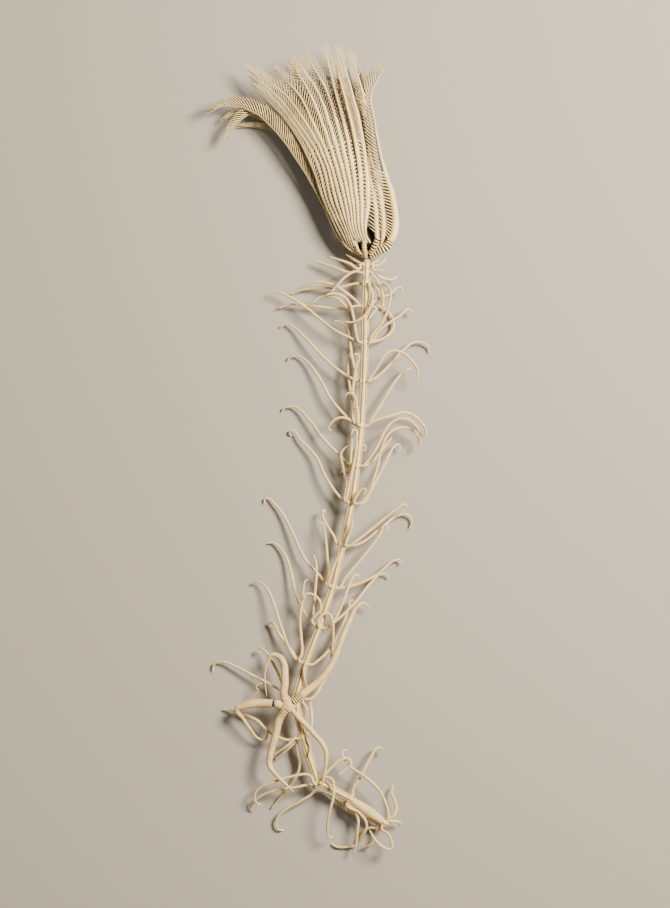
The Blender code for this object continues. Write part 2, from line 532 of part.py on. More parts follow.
def calyx():
    """The cup on top of the stem, fused with the five rays that fork into the arms."""
    base = Vector((CUP_XY[0], CUP_XY[1], CUP_Z))
    top = base + Vector((0, CUP_H, 1.2))
    cup = tubes("calyx", [((base, base.lerp(top, 0.5), top), (CUP_R[0], sum(CUP_R) / 2, CUP_R[1] * 0.8))], 3)
    routes = []
    for _, end in RAYS:
        tip = Vector((CUP_XY[0] + end[0], CUP_XY[1] + end[1] - 1.6, end[2]))
        root = base.lerp(top, 0.55)
        bulge = root.lerp(tip, 0.6) + Vector((end[0] * 0.12, -0.8, (end[2] - CUP_Z) * 0.12))
        routes.append(((root, bulge, tip), (RAY_R, RAY_R * 1.1, RAY_R)))
    join_solid(cup, tubes("rays", routes, 1))
    return cup


# ---- brittle star ----------------------------------------------------------------------------------
def star_disc():
    bpy.ops.mesh.primitive_uv_sphere_add(segments=10, ring_count=6, radius=STAR_R * MM,
                                         location=(STAR_XY[0] * MM, STAR_XY[1] * MM, STAR_Z * MM))
    disc = bpy.context.object
    disc.name = "brittle_star_disc"
    disc.data.transform(disc.matrix_world.to_3x3().to_4x4())
    for vert in disc.data.vertices:
        vert.co.z *= STAR_H / 2 / STAR_R
    disc.data.transform(disc.matrix_world)
    disc.matrix_world.identity()
    for home in list(disc.users_collection):
        home.objects.unlink(disc)
    bpy.context.scene.collection.objects.link(disc)
    return disc


def star_arm(n):
    mid, tip, *offsets = STAR_ARMS[n]
    centre = Vector((STAR_XY[0], STAR_XY[1], STAR_Z))
    route, _ = limb_route(centre, (mid, tip), offsets, (1, 1, 1))
    widths = [STAR_GIRTH[n][0], *STAR_GIRTH[n]]
    for spot, radius in zip(route, widths):
        spot.z = max(spot.z, radius * 1.02)
    first = route[1] - centre
    route[0] = centre + first.normalized() * (STAR_R + GAP + 1.2)
    if (route[1] - route[0]).length < 3:
        route.pop(1)
        widths.pop(1)
    return tubes(f"brittle_star_arm_{n + 1}", [(route, widths)], 1)


def main():
    clear()
    home = bpy.data.collections.new("Sea lily")
    bpy.context.scene.collection.children.link(home)
    bone = material("ivory calcite", IVORY, 0.6)
    worn = material("tan calcite of the arms", TAN, 0.65)
    star = material("dried brittle star", BROWN, 0.6)
    spots = stem_spots()
    ways = stem_ways(spots)
    for i in range(len(WHORLS)):
        finish(whorl(i, spots, ways), home, bone)
    for i in range(len(WHORLS) - 1):
        if (spots[i + 1] - spots[i]).length > 15:
            finish(stem_section(i, spots, ways), home, bone)
    finish(calyx(), home, bone)
    lines = arm_lines()
    for k in range(len(lines)):
        finish(arm(k, lines), home, worn)
    finish(star_disc(), home, star)
    for n in range(len(STAR_ARMS)):
        finish(star_arm(n), home, star)


main()
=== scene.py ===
"""Stalked sea lily skeleton, dressed: beaded cirri, a five-lobed stem of thin plates, feathered arms and a
brittle star, each made of its own small plates strung along the routes that the solids follow.

Routes and sections are in millimetres and are turned into metres by MM. A string of plates is one plate,
repeated and bent along a guide curve whose radius at each point scales the plate's section there.
"""

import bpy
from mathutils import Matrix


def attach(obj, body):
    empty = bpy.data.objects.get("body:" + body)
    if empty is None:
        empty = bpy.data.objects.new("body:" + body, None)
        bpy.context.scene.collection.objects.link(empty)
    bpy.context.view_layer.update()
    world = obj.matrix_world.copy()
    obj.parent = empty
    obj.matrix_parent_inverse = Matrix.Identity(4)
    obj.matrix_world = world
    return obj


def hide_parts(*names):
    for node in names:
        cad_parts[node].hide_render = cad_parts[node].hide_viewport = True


bl_info = {
    "name": "Stalked sea lily",
    "version": (1, 0, 0),
    "blender": (4, 5, 0),
    "location": "View3D > Sidebar > Sea lily",
    "description": "Dresses the packed sea lily skeleton with its plates, pinnules and finishes",
    "category": "Object",
}
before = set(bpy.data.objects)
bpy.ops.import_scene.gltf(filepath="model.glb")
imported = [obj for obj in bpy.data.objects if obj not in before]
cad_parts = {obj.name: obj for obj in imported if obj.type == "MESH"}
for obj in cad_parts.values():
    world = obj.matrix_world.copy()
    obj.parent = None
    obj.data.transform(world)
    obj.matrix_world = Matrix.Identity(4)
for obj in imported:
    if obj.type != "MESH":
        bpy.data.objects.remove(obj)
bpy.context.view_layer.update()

import math
import random

import bpy
from mathutils import Matrix, Vector, noise

MM = 0.001

# ---- routes, mm, as the solids have them -------------------------------------------------------------
GAP = 0.3                # gap between two solids
STEM_Z = 16.0            # height of the stem's axis from the crown down to the bend
ROOT_Z = 12.5            # its height at the broken root end
BEND_Y = -150.0          # where it starts to sink
NECK = 5.0               # how far the first nodal reaches up to the cup
CROWDED = 15.0           # nodals nearer than this meet, with no plates between them
CIRRUS_CLEAR = 0.9       # least gap between a cirrus and the stem that it passes
STAR = Vector((-23.6, -202.4, 22.4))     # centre of the brittle star's disc
CUP = Vector((38.2, 152.5, 16.6))        # centre of the cup's base
CROWN_Z = 17.5           # height of the crown's axis
CROWN_D = 15.5           # its half depth over the axis
FLOOR_CLEAR = 1.0        # lowest centre line of an arm
LEAST_Z = 0.02           # lowest point of any plate, so that none is in the floor

# Every whorl from the crown down: x, y of the nodal, then its cirri. A cirrus has its height half way
# and at the tip, then x, y of each point it passes through, as offsets from the nodal.
WHORLS = (
    (38.4, 147.2, (
        (13, 8, -8, -5, -28, -1, -42, 4),
        (18, 15, -5, -3, -14, 1, -30, 6.5),
        (13, 11, -5, 1, -10.5, 4.5, -17, 9),
        (19, 22, 4.5, -3, 11, -5.3, 15, -5),
        (16, 15, 6, -1, 12, 1.5, 15.6, 6),
        (11, 9, 5, 1.5, 11, 4))),
    (38.0, 140.8, (
        (21, 21, -7.5, 1, -16, -3, -22.5, -9.5, -28, -16),
        (12, 7, 8.5, -2, 15, -4.5, 21, -5, 25.5, -2),
        (21, 18, 5.5, -2, 9, -7, 13, -18, 13.2, -26, 12.5, -36))),
    (37.8, 132.0, (
        (9, 2, -7, 0.5, -21, -2.5, -41, -3, -52, -4.5, -60.5, -8),
        (24, 22, 3, -3, 5.2, -9, 4.4, -15.5, -1.3, -25.5, -10, -30.6, -17.5, -30),
        (12, 9, 6.5, -2, 9.6, -5, 10, -14))),
    (37.2, 114.4, (
        (16, 12, -5, 1.3, -15, 10.3, -26, 17, -40, 19.2, -45.5, 18),
        (11, 5, -14, -2, -43, 0.4, -60, 1.5, -69.5, -1.5),
        (21, 20, -14, -0.5, -23, 6.3, -30, 7.5, -37.5, 5.8, -41, 2),
        (14, 9, 6.7, 3, 20, 10, 27, 15, 29.3, 13, 27, 9.6),
        (20, 22, 5, -0.5, 8.5, -2, 6.7, -5.6, 2.4, -10.8))),
    (36.8, 85.6, (
        (21, 27, -6.6, 6, -9, 20, -13, 32, -20, 37.5, -26, 38.2, -31, 36.8),
        (15, 10, -8.4, 2, -23.4, 9.4, -45.5, 26.7, -59.6, 36.2, -69.7, 40.2, -74.2, 39),
        (14, 6, 10, 7.6, 29.3, 22.3, 35, 26.7, 37.5, 24, 37, 21),
        (5, 4, 8, 0.7, 19, 6.3, 23.2, 13.7, 20, 23.2, 12, 29.3, 8, 30.6),
        (23, 28, 6, 5.6, 14, 16, 19.5, 31, 20.2, 40, 18.4, 44, 15.4, 46.6, 11.6, 46.4))),
    (35.8, 55.0, (
        (11, 2, -12.6, 3.8, -28.1, 15.3, -44.9, 32.8, -56.1, 43.4, -61.8, 45.3, -67.1, 42.3),
        (13, 8, -5.6, 4.8, -9, 18.1, -11.2, 34.8, -13.1, 41.8, -17.1, 46, -21.3, 47.8, -24.2, 46.4),
        (24, 16, 6.2, 3.2, 12.4, 12.8, 18.4, 21.8, 27.4, 23.4, 37.9, 16, 43, 7.3, 42, -2.2),
        (10, 2, 8.8, 1.8, 22.6, 14.4, 32.8, 25.8, 43, 31.3, 51.6, 27.8, 52.7, 22.1))),
    (34.0, 19.8, (
        (10, 2, -12.2, 7.2, -23.5, 20.2, -34.7, 39.9, -46, 53.2, -51.5, 55.2, -57.7, 53.2, -58.6, 50.8),
        (18, 14, -9.2, 4.2, -17.8, 5.6, -24.8, 0.4, -25.7, -3.3, -23, -4.2),
        (23, 24, -2.5, 6.2, -3.5, 14.2, -5.5, 23, -8.3, 25.2, -11, 25, -12.8, 22.4),
        (21, 27, -6.6, 11.2, -6.6, 28.2, -3, 50.2, -1.5, 53.9, -3.8, 56.2, -6.4, 55.2),
        (13, 9, -6.4, 17.2, -9.8, 34.8, -10.6, 45.2, -8.8, 58.2),
        (12, 7, 8, 4.2, 16.7, 17.6, 27, 34.8, 36, 44, 40.7, 45.2),
        (14, 3, 7.4, 1.8, 24.8, 7.7, 34, 10, 41.4, 7.7, 47.8, 2.2, 51.4, -4.8, 47.8, -12.4))),
    (30.6, -12.2, (
        (9, 2, -13.1, 7.6, -26, 20.4, -37.8, 36, -48.8, 46.2, -54.4, 46.6, -58.8, 44.8, -59.5, 42),
        (10, 8, -6.8, -3.8, -9.8, -3.4, -13.4, -6.2),
        (22, 26, -4.8, 7.2, -4.6, 12.2, -4, 22.2),
        (21, 20, 7.2, 2, 15.2, 13.2, 23.6, 29.6, 29.2, 35.2, 36.4, 37, 43.8, 34.2, 48.4, 25.2, 44.2, 23.6),
        (10, 8, 9.9, 1.2, 19, 11.2, 28.2, 22.6),
        (9, 9, 2, 8, 4.5, 15.5, 6.3, 15.8, 7, 13, 5, 10.6))),
    (26.4, -42.0, (
        (9, 2, -9.8, 5.2, -20.8, 20.8, -28.2, 36.5, -40.2, 49.4, -48.2, 57.6, -49.4, 55.3, -47, 53),
        (14, 21, -4.3, 14.4, -7, 29.1, -8.5, 38.3, -6.2, 42.8, -1.6, 46.1),
        (22, 25, -2.5, 10.8, 0.2, 24.6, 3, 38.3, 3.9, 50.2, 2.1, 58.1, -0.6, 53.3),
        (21, 8, 9.4, 1.6, 18.6, 22.8, 25, 46.6, 28.7, 53.8, 37, 59.4, 49, 57.6, 54.5, 47.8, 49, 41.5),
        (12, 6, 7.6, -1.2, 16.8, 12.6, 26, 30, 34.2, 44.8, 37.2, 46.6, 38.4, 40.2),
        (25, 26, 3, 4.3, 10.4, 11.2, 11.2, 9.6, 8.4, 6.8))),
    (19.2, -75.2, (
        (12, 9, -6.3, 5.4, -14, 18.2, -16, 24, -15.2, 27.4, -13.2, 24.2),
        (23, 26, 3, 3, 6.6, 12, 8, 20),
        (18, 14, 9.3, 1.7, 25.8, 14.6, 44.2, 29.3, 48.5, 32, 50.6, 31, 45.5, 25),
        (8, 2, 12, 0, 30.4, 12.7, 44, 22.8, 50.6, 23.8, 55.2, 20, 53.4, 12))),
    (11.2, -108.4, (
        (8, 2, -10.2, 8.3, -22, 21.8, -31.4, 41.4, -40.6, 58.8, -46, 65, -51, 69.6, -54, 69, -54, 65),
        (15, 16, -3.2, 12.4, -4, 22, -6.6, 45, -8.2, 50.5, -10, 49),
        (14, 14, 10, 6.3, 24.6, 23.8, 38.4, 42.2, 42, 49, 43.8, 46.5, 42.6, 43.2),
        (10, 3, 13, -0.4, 32.4, 7.3, 51.8, 20.9, 54.7, 19.4, 53.2, 16),
        (23, 27, -1.5, 9.2, 2.8, 20.4, 8.4, 31.6))),
    (0.8, -140.0, (
        (8, 2, -7.6, 5, -17.3, 21.4, -23, 43.8, -26, 53.4, -31, 61.2, -37.7, 66, -42, 65),
        (19, 16, -4.7, 9.8, -3.3, 29.2, -2.3, 47.7, -4.6, 57.4),
        (24, 26, -5.7, 4, -3.8, 8, 0.2, 12, 1, 17.6, -2, 23.4, -8.6, 26.3, -11.6, 24.8, -10.8, 21.2),
        (22, 12, 2, 8.9, 7, 10.3, 9.8, 6, 10.8, -9.5, 10, -19, 8.9, -29),
        (18, 12, 11.8, 5, 19.5, 21.4, 26.3, 38, 29.2, 41, 32, 39),
        (11, 3, 11.8, 3, 29.2, 19.5, 42.8, 36, 49.6, 41, 54.4, 40, 55.4, 36.5))),
    (-10.5, -169.2, (
        (14, 3, -8.9, 5, -18.6, 27.4, -26.4, 50.6, -31.1, 59.4, -37.1, 63.8, -43.8, 62.3),
        (8, 3, -9.9, 8, -21.5, 23.5, -27.3, 31.3, -28.9, 30.5, -25.6, 25.4),
        (17, 18, -2.1, 7, -3.1, 19.7, -4.1, 34.2, -2.1, 48.7, 0.7, 66, 2.7, 66),
        (14, 7, 9.5, 1.2, 20.2, 12, 26.9, 23.5, 31.9, 35, 34.9, 45, 36.9, 49.5, 39.5, 45.8),
        (21, 16, -0.8, -3.5, -0.3, -13, 1.6, -19.5))),
    (-18.4, -197.6, (
        (8, 2, -10.7, 5.4, -35.4, 18.6, -46.7, 24.2, -57.9, 28.2, -64.7, 26.6, -65.8, 19.8),
        (12, 6, -8.4, 7.2, -15.6, 23.8, -25.4, 38.4, -28.6, 39.4, -29.6, 34.6),
        (10, 5, 12.6, -0.4, 20.3, 9.3, 28.1, 23.8, 32.9, 33.6),
        (14, 12, 5.6, -2, 8.8, -8, 8.9, -12, 7.4, -17.6))),
    (-12.8, -228.0, (
        (16, 13, -5.2, -0.8, -11.9, -7, -23.2, -14.8),
        (9, 5, -7.2, -5.8, -14.2, -12.8, -22.2, -19.4),
        (10, 2, -11.2, -2.8, -18.6, -0.8, -28.7, 5.2, -35.5, 12, -47.8, 17.6, -58.2, 20.8, -64.6, 20.4),
        (11, 8, 3.8, 1.9, 6.8, 6.4, 7.4, 17.6, 5.4, 31.2),
        (18, 19, 3.8, -2.6, 6.1, -7, 5, -16.1),
        (7, 2, -4.2, -8.8, -2.2, -23.8, -8.6, -38.5, -18.6, -50.8, -25.2, -58.8))),
    (-0.8, -264.0, (
        (16, 8, -6, 5.4, -19.4, 4.8, -38.5, -1.4, -46, -5, -49.8, -10.3, -48.6, -17, -44, -18.8),
        (12, 2, -4.8, -2.5, -19.4, -4.7, -35, -7.5, -44.2, -11.4, -51, -17, -53, -22, -51.4, -25),
        (7, 2, -2.6, -7, -13.8, -16, -25, -22.7, -31.8, -29.4, -33, -35, -30.6, -39.5, -26.2, -39.5),
        (22, 10, 6.4, 4.2, 12, 2, 13, -4, 12.6, -11.4, 9.8, -22.7, 8, -36.2, 9.8, -45, 12.6, -42.9),
        (17, 20, 7.5, 7.6, 19.8, 18.2, 24.3, 18.8, 26.6, 15.4, 23.2, 11, 16.5, 6))),
    (25.2, -277.6, (
        (12, 6, 2, 6, 8.5, 17.8, 16.3, 32.4, 22, 40.3, 24.7, 40, 25.3, 34.6),
        (13, 8, 2, -7, 6.2, -15.8, 5.7, -26, 4.6, -37, 1.7, -45),
        (14, 8, 8, -10, 13, -20, 10.7, -29.3, 8.5, -35),
        (8, 6, -4, -3, -5, -6, -1.7, -11.4))),
    (52.8, -296.8, (
        (18, 13, 2.7, 7.8, 0, 18, -5.7, 28, -17, 38.2, -27, 45, -31.5, 50.5, -33.8, 56, -29.5, 59),
        (10, 4, 5, 4, 9, 10, 7.8, 18, 5.5, 23.6, 7.2, 29.8),
        (10, 6, 5, 1, 9, 1, 12.3, -1, 11, -3),
        (16, 19, 2.8, -8.8, 5.5, -15.7, 5, -20.2, -1.2, -19, -8, -12.3, -12.4, -4.5),
        (8, 4, -4.6, -3.4, -6.8, -11.2, -11.3, -18, -18, -20.8),
        (4, 2, -14.8, -5.6, -19.6, -13.6, -23.5, -19, -30.4, -20.5, -39.4, -20, -42.7, -17),
        (5, 2, -11.6, 2, -22.8, 6, -34, 13, -43.6, 20.6, -50.8, 23.6, -57.2, 22))),
)
# The brittle star's arms: height half way and at the tip, then x, y of points as offsets from the disc.
STAR_ARMS = (
    (20, 12, -3.5, 6.4, -3, 19, -5.5, 36.5, -9.4, 39.3, -13.3, 39.8, -16.2, 35.4, -19, 23, -17.6, 6),
    (21, 8, 6, 4.5, 13, 10.4, 26.4, 21.6, 35, 34.4, 41.6, 50.4, 49, 68, 54.4, 77.6, 59.2, 80.4, 65, 75.2),
    (15, 8, -11, 1, -28, 1, -36, -1.2, -41, -4, -37, -10.4, -30.3, -20.3, -24.7, -27, -19, -28.2, -17.2,
     -24.8, -19, -17),
    (20, 19, -3, -4, -7.8, -12.5, -10, -22.6, -15, -41.7, -15, -48.4, -11.2, -54, -2.2, -63, 4, -69),
    (22, 21, 5.6, -7, 19, -21.4, 29.2, -35, 29.8, -45, 28, -56, 25.8, -67.4),
)
# Their radii at the same points, the first at the disc.
STAR_GIRTH = (
    (3.0, 3.1, 2.6, 2.1, 1.7, 1.0, 0.6, 0.5),
    (3.1, 3.1, 2.8, 2.5, 2.1, 1.8, 1.5, 1.1, 0.6),
    (3.2, 3.6, 3.1, 2.2, 1.5, 1.2, 1.0, 0.9, 0.8, 0.6, 0.5),
    (3.1, 3.2, 3.0, 2.6, 2.2, 1.8, 1.1, 0.6),
    (2.1, 2.2, 1.9, 1.5, 1.0, 0.5),
)

# Crown: left and right edge of the closed bundle of arms at rising levels, and its half depth there
# as a fraction of CROWN_D.
LEVELS = (
    ((15.0, 171.0), (58.8, 169.5), 0.72),
    ((2.8, 196.5), (59.4, 195.5), 0.98),
    ((-11.0, 228.0), (50.2, 228.0), 1.0),
    ((-27.5, 260.5), (43.8, 262.0), 0.9),
    ((-46.5, 283.5), (41.6, 283.0), 0.72),
)
# Front arms, left to right: where each crosses the levels, then its tip. The first is the long one that
# curls out to the left above the second level.
FRONT_ARMS = (
    (15.0, 2.8),
    (17.4, 5.6, -5.4, -24.2, -45.6, (-54.5, 291.5)),
    (19.8, 8.2, -1.0, -20.2, -39.8, (-57, 298.5)),
    (22.0, 11.2, 2.6, -16.4, -35.0, (-60, 305)),
    (23.8, 14.6, 6.0, -10.8, -28.0, (-51, 300.5)),
    (25.6, 18.0, 9.2, -5.0, -16.8, (-36, 303)),
    (27.4, 21.4, 13.2, 2.0, -7.4, (-23, 311)),
    (29.2, 24.6, 17.2, 7.6, -0.4, (-18, 312)),
    (31.2, 27.4, 21.6, 13.6, 6.8, (-11.5, 317.5)),
    (33.4, 30.6, 26.2, 19.2, 13.4, (4, 323)),
    (35.6, 34.2, 31.6, 25.2, 19.8, (12.5, 314)),
    (37.6, 39.0, 36.8, 31.8, 26.4, (15.5, 321.5)),
    (46.2, 44.4, 39.8, 36.0, 31.6, (41, 305)),
    (50.6, 49.6, 43.4, 39.2, 35.0, (25.5, 318)),
    (58.8, 59.4, 50.2, 43.8, 41.6, (53.5, 308)),
)
# How far two of them dip under their neighbours, at the levels, half way to the tip and at the tip.
SUNK = {12: (0, 3, 18.5, 15.5, 12, 10, 8), 13: (0, 1, 12.5, 8, 2, 0, 0)}
# The four arms that curl away to the left, above the second level: the front one, then those below it.
CURL_ARMS = (
    ((-17.2, 231), (-36.4, 256), (-54, 269.6), (-73, 273.6), (-89, 267)),
    ((-16.5, 233), (-33, 256), (-50, 268), (-65, 259.5), (-74.5, 243)),
    ((-13, 230), (-29, 253.5), (-48, 265), (-64, 268), (-78.5, 261.5)),
    ((-10, 227), (-25, 249), (-38, 255.5), (-52, 258), (-65, 258)),
)
CURL_Z = (18.5, 13.5, 8.5, 3.6)
# The arms of the underside, right to left: where they lie between the edges, and how far below the axis.
BACK_ARMS = ((0.72, 0.95), (0.4, 1.0))
# The five rays that the arms grow from: the arms of each, and where its end lies, as an offset from the
# cup's centre with its height.
RAYS = (
    ((0, 1, 2, 3, 4, 5), (-13.0, 9.0, 19.5)),
    ((6, 7, 8, 9, 10, 11), (-2.0, 11.5, 24.0)),
    ((12, 13, 14), (10.5, 8.0, 19.5)),
    ((15, 16), (4.5, 9.5, 6.5)),
    ((17, 18, 19), (-8.0, 9.0, 10.0)),
)

# ---- sizes and colours -------------------------------------------------------------------------------
def linear(code):
    """A linear RGBA colour from an sRGB hex code."""
    parts = [int(code[i:i + 2], 16) / 255 for i in (1, 3, 5)]
    return [c / 12.92 if c <= 0.04045 else ((c + 0.055) / 1.055) ** 2.4 for c in parts] + [1.0]


def length(name, about, size):
    """A length property whose default is given in millimetres."""
    return bpy.props.FloatProperty(name=name, description=about, default=size * MM, min=0.01 * MM,
                                   unit="LENGTH", subtype="DISTANCE")


def colour(name, about, code):
    return bpy.props.FloatVectorProperty(name=name, description=about, default=linear(code), size=4,
                                         min=0.0, max=1.0, subtype="COLOR")


class SeaLilySizes(bpy.types.PropertyGroup):
    """Sizes of the plates that the skeleton is made of."""
    stem_radius: length("Stem radius", "Radius of the stem at the ends of a section", 2.8)
    stem_swell: length("Stem swell", "Extra radius half way along a stem section", 0.45)
    columnal: length("Columnal length", "Length of one thin stem plate", 1.35)
    nodal_radius: length("Nodal radius", "Radius of the thicker plates that carry the cirri", 3.1)
    nodal: length("Nodal length", "Length of a nodal along the stem", 4.4)
    cirrus_root: length("Cirrus root radius", "Radius of a cirrus where it leaves its nodal", 1.0)
    cirrus_middle: length("Cirrus middle radius", "Radius of a cirrus half way", 1.18)
    cirrus_tip: length("Cirrus tip radius", "Radius of a cirrus at its claw", 0.66)
    cirral: length("Cirral length", "Length of one bead of a cirrus", 1.7)
    cup_base: length("Cup base radius", "Radius of the cup where it meets the stem", 3.2)
    cup_rim: length("Cup rim radius", "Radius of the cup at its rim", 5.2)
    cup_height: length("Cup height", "Height of the cup along the stem's line", 6.5)
    ray_plate: length("Ray plate length", "Length of one plate of a ray or of an arm's foot", 2.2)
    brachial: length("Brachial length", "Length of one plate of an arm", 1.4)
    pinnule_step: length("Pinnule spacing", "Distance between pinnules on one side of an arm", 3.0)
    star_disc: length("Star disc radius", "Radius of the brittle star's disc", 5.8)
    star_height: length("Star disc height", "Thickness of the brittle star's disc", 5.2)
    star_plate: length("Star plate length", "Length of one ring of a brittle star arm", 1.8)


class SeaLilyColours(bpy.types.PropertyGroup):
    """Colours of the finishes."""
    ivory: colour("Ivory", "Clean calcite of the stem and cirri", "#F8DC9A")
    worn: colour("Worn ivory", "Calcite where it has yellowed", "#D9B67C")
    joint_and_shade: colour("Joint and painted shade brown", "Dried tissue and dirt in the joints, and painted shade in furrows and under and between the arms", "#331B0A")
    arm: colour("Arm ivory", "Backs of the arms", "#FDE3A6")
    arm_worn: colour("Arm tan", "Arms where they have yellowed", "#D8B67E")
    star: colour("Star tan", "Plates of the brittle star", "#F2D292")
    star_worn: colour("Star brown", "Darker skin of the brittle star", "#C29A63")
    floor: colour("Floor", "Plain pale floor", "#9C9589")


# ---- modelling helpers -------------------------------------------------------------------------------
def deselect():
    if bpy.context.mode != "OBJECT":
        bpy.ops.object.mode_set(mode="OBJECT")
    bpy.ops.object.select_all(action="DESELECT")


def pick(*objects):
    """Leaves only these selected, the first of them active."""
    deselect()
    for item in objects:
        item.select_set(True)
    bpy.context.view_layer.objects.active = objects[0]


def join(name, parts):
    pick(*parts)
    if len(parts) > 1:
        bpy.ops.object.join()
    made = bpy.context.object
    made.name = name
    made.data.name = name
    return made


def copied(template):
    made = template.copy()
    made.data = template.data.copy()
    bpy.context.scene.collection.objects.link(made)
    return made


def remove(*objects):
    for item in objects:
        bpy.data.objects.remove(item, do_unlink=True)


def turned(name, sides, rings, tip=False, base=False, shape=None):
    """A form drawn as a ring on the +Z axis and extruded from ring to ring.

    Each ring has a height and radius in mm and how brown it is, from 0 to 1: the brown of a joint, or painted
    shade where the ring is meant to look shaded. tip and base close the ends. shape(x, y) moves a point of a
    ring whose radius is 1.
    """
    deselect()
    low = rings[0]
    bpy.ops.mesh.primitive_circle_add(vertices=sides, radius=low[1] * MM,
                                      fill_type="NGON" if base else "NOTHING", location=(0, 0, low[0] * MM))
    made = bpy.context.object
    bpy.ops.object.transform_apply(location=True, rotation=True, scale=True)
    bpy.ops.object.mode_set(mode="EDIT")
    bpy.ops.mesh.select_all(action="SELECT")
    for high in rings[1:]:
        bpy.ops.mesh.extrude_region_move(TRANSFORM_OT_translate={"value": (0, 0, (high[0] - low[0]) * MM)})
        grow = high[1] / low[1]
        bpy.ops.transform.resize(value=(grow, grow, 1), center_override=(0, 0, high[0] * MM))
        low = high
    if tip and not base:
        bpy.ops.mesh.edge_face_add()
    bpy.ops.mesh.select_all(action="SELECT")
    bpy.ops.mesh.normals_make_consistent(inside=False)
    bpy.ops.object.mode_set(mode="OBJECT")
    made.name = name
    mark = made.data.attributes.new("joint_and_shade_mark", "FLOAT", "POINT")
    for vert, value in zip(made.data.vertices, mark.data):
        ring = min(rings, key=lambda r: (abs(r[0] * MM - vert.co.z)
                                         + abs(r[1] * MM - vert.co.xy.length) * 0.01))
        value.value = ring[2]
        if shape:
            x, y = shape(vert.co.x / (ring[1] * MM), vert.co.y / (ring[1] * MM))
            vert.co.x = x * ring[1] * MM
            vert.co.y = y * ring[1] * MM
    for face in made.data.polygons:
        face.use_smooth = True
    return made


def guide(points, radii, tilts=None, twist="Z_UP"):
    """A smooth curve through points in mm, for plates to be strung along."""
    deselect()
    bpy.ops.curve.primitive_bezier_curve_add()
    line = bpy.context.object
    line.data.twist_mode = twist
    line.data.resolution_u = 8
    line.data.use_radius = True
    spline = line.data.splines[0]
    spline.bezier_points.add(len(points) - 2)
    for knot, spot, radius, tilt in zip(spline.bezier_points, points, radii, tilts or [0.0] * len(points)):
        knot.co = Vector(spot) * MM
        knot.handle_left_type = knot.handle_right_type = "AUTO"
        knot.radius = radius
        knot.tilt = tilt
    bpy.context.view_layer.update()
    return line


def run_of(line):
    """Length of a guide, in metres."""
    return line.data.splines[0].calc_length()


def strung(template, line, step, count, cap=None, stretch=True):
    """Copies of a template one step apart, bent along a guide curve.

    With stretch they fill the whole curve; without, a height in the template is a distance along it.
    """
    line.data.use_stretch = stretch
    line.data.use_deform_bounds = stretch
    made = copied(template)
    repeat = made.modifiers.new("repeat", "ARRAY")
    repeat.fit_type = "FIXED_COUNT"
    repeat.count = max(count, 1)
    repeat.use_relative_offset = False
    repeat.use_constant_offset = True
    repeat.constant_offset_displace = (0, 0, step)
    repeat.use_merge_vertices = True
    repeat.merge_threshold = 0.004 * MM
    if cap:
        repeat.end_cap = cap
    follow = made.modifiers.new("follow", "CURVE")
    follow.object = line
    follow.deform_axis = "POS_Z"
    pick(made)
    bpy.ops.object.modifier_apply(modifier="repeat")
    bpy.ops.object.modifier_apply(modifier="follow")
    return made


def laid(template, points, radii, step, count, tilts=None, cap=None, stretch=True, twist="Z_UP"):
    """Copies of a template along a guide of their own. count is their number, or gives it from the run."""
    line = guide(points, radii, tilts, twist)
    many = count(run_of(line)) if callable(count) else count
    made = strung(template, line, step, many, cap, stretch)
    remove(line)
    return made


def shifted(template, far):
    """A copy of a template, moved along +Z."""
    made = copied(template)
    made.data.transform(Matrix.Translation((0, 0, far)))
    return made


def close_ends(made):
    """Fills the open ends of the strings in a piece and points its faces outwards."""
    pick(made)
    bpy.ops.object.mode_set(mode="EDIT")
    bpy.ops.mesh.select_all(action="SELECT")
    bpy.ops.mesh.fill_holes(sides=0)
    bpy.ops.mesh.select_all(action="SELECT")
    bpy.ops.mesh.normals_make_consistent(inside=False)
    bpy.ops.object.mode_set(mode="OBJECT")


def dress(piece, node, finish):
    """Gives a piece its finish, keeps it above the floor, hangs it on the root body and hides the solid it
    stands for.
    """
    piece.data.materials.clear()
    piece.data.materials.append(finish)
    for vert in piece.data.vertices:
        vert.co.z = max(vert.co.z, LEAST_Z * MM)
    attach(piece, "root")
    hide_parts(node)


# ---- finishes ----------------------------------------------------------------------------------------
def add(tree, kind, inputs=None, **settings):
    """Adds a node with its settings; an input is a value or the socket that feeds it."""
    node = tree.nodes.new(kind)
    for key, value in settings.items():
        setattr(node, key, value)
    for key, value in (inputs or {}).items():
        socket = node.inputs[key]
        if isinstance(value, bpy.types.NodeSocket):
            tree.links.new(value, socket)
        else:
            socket.default_value = value
    return node


def per_mm(size):
    """The scale that gives a pattern features of this size in millimetres."""
    return 1.0 / (size * MM)


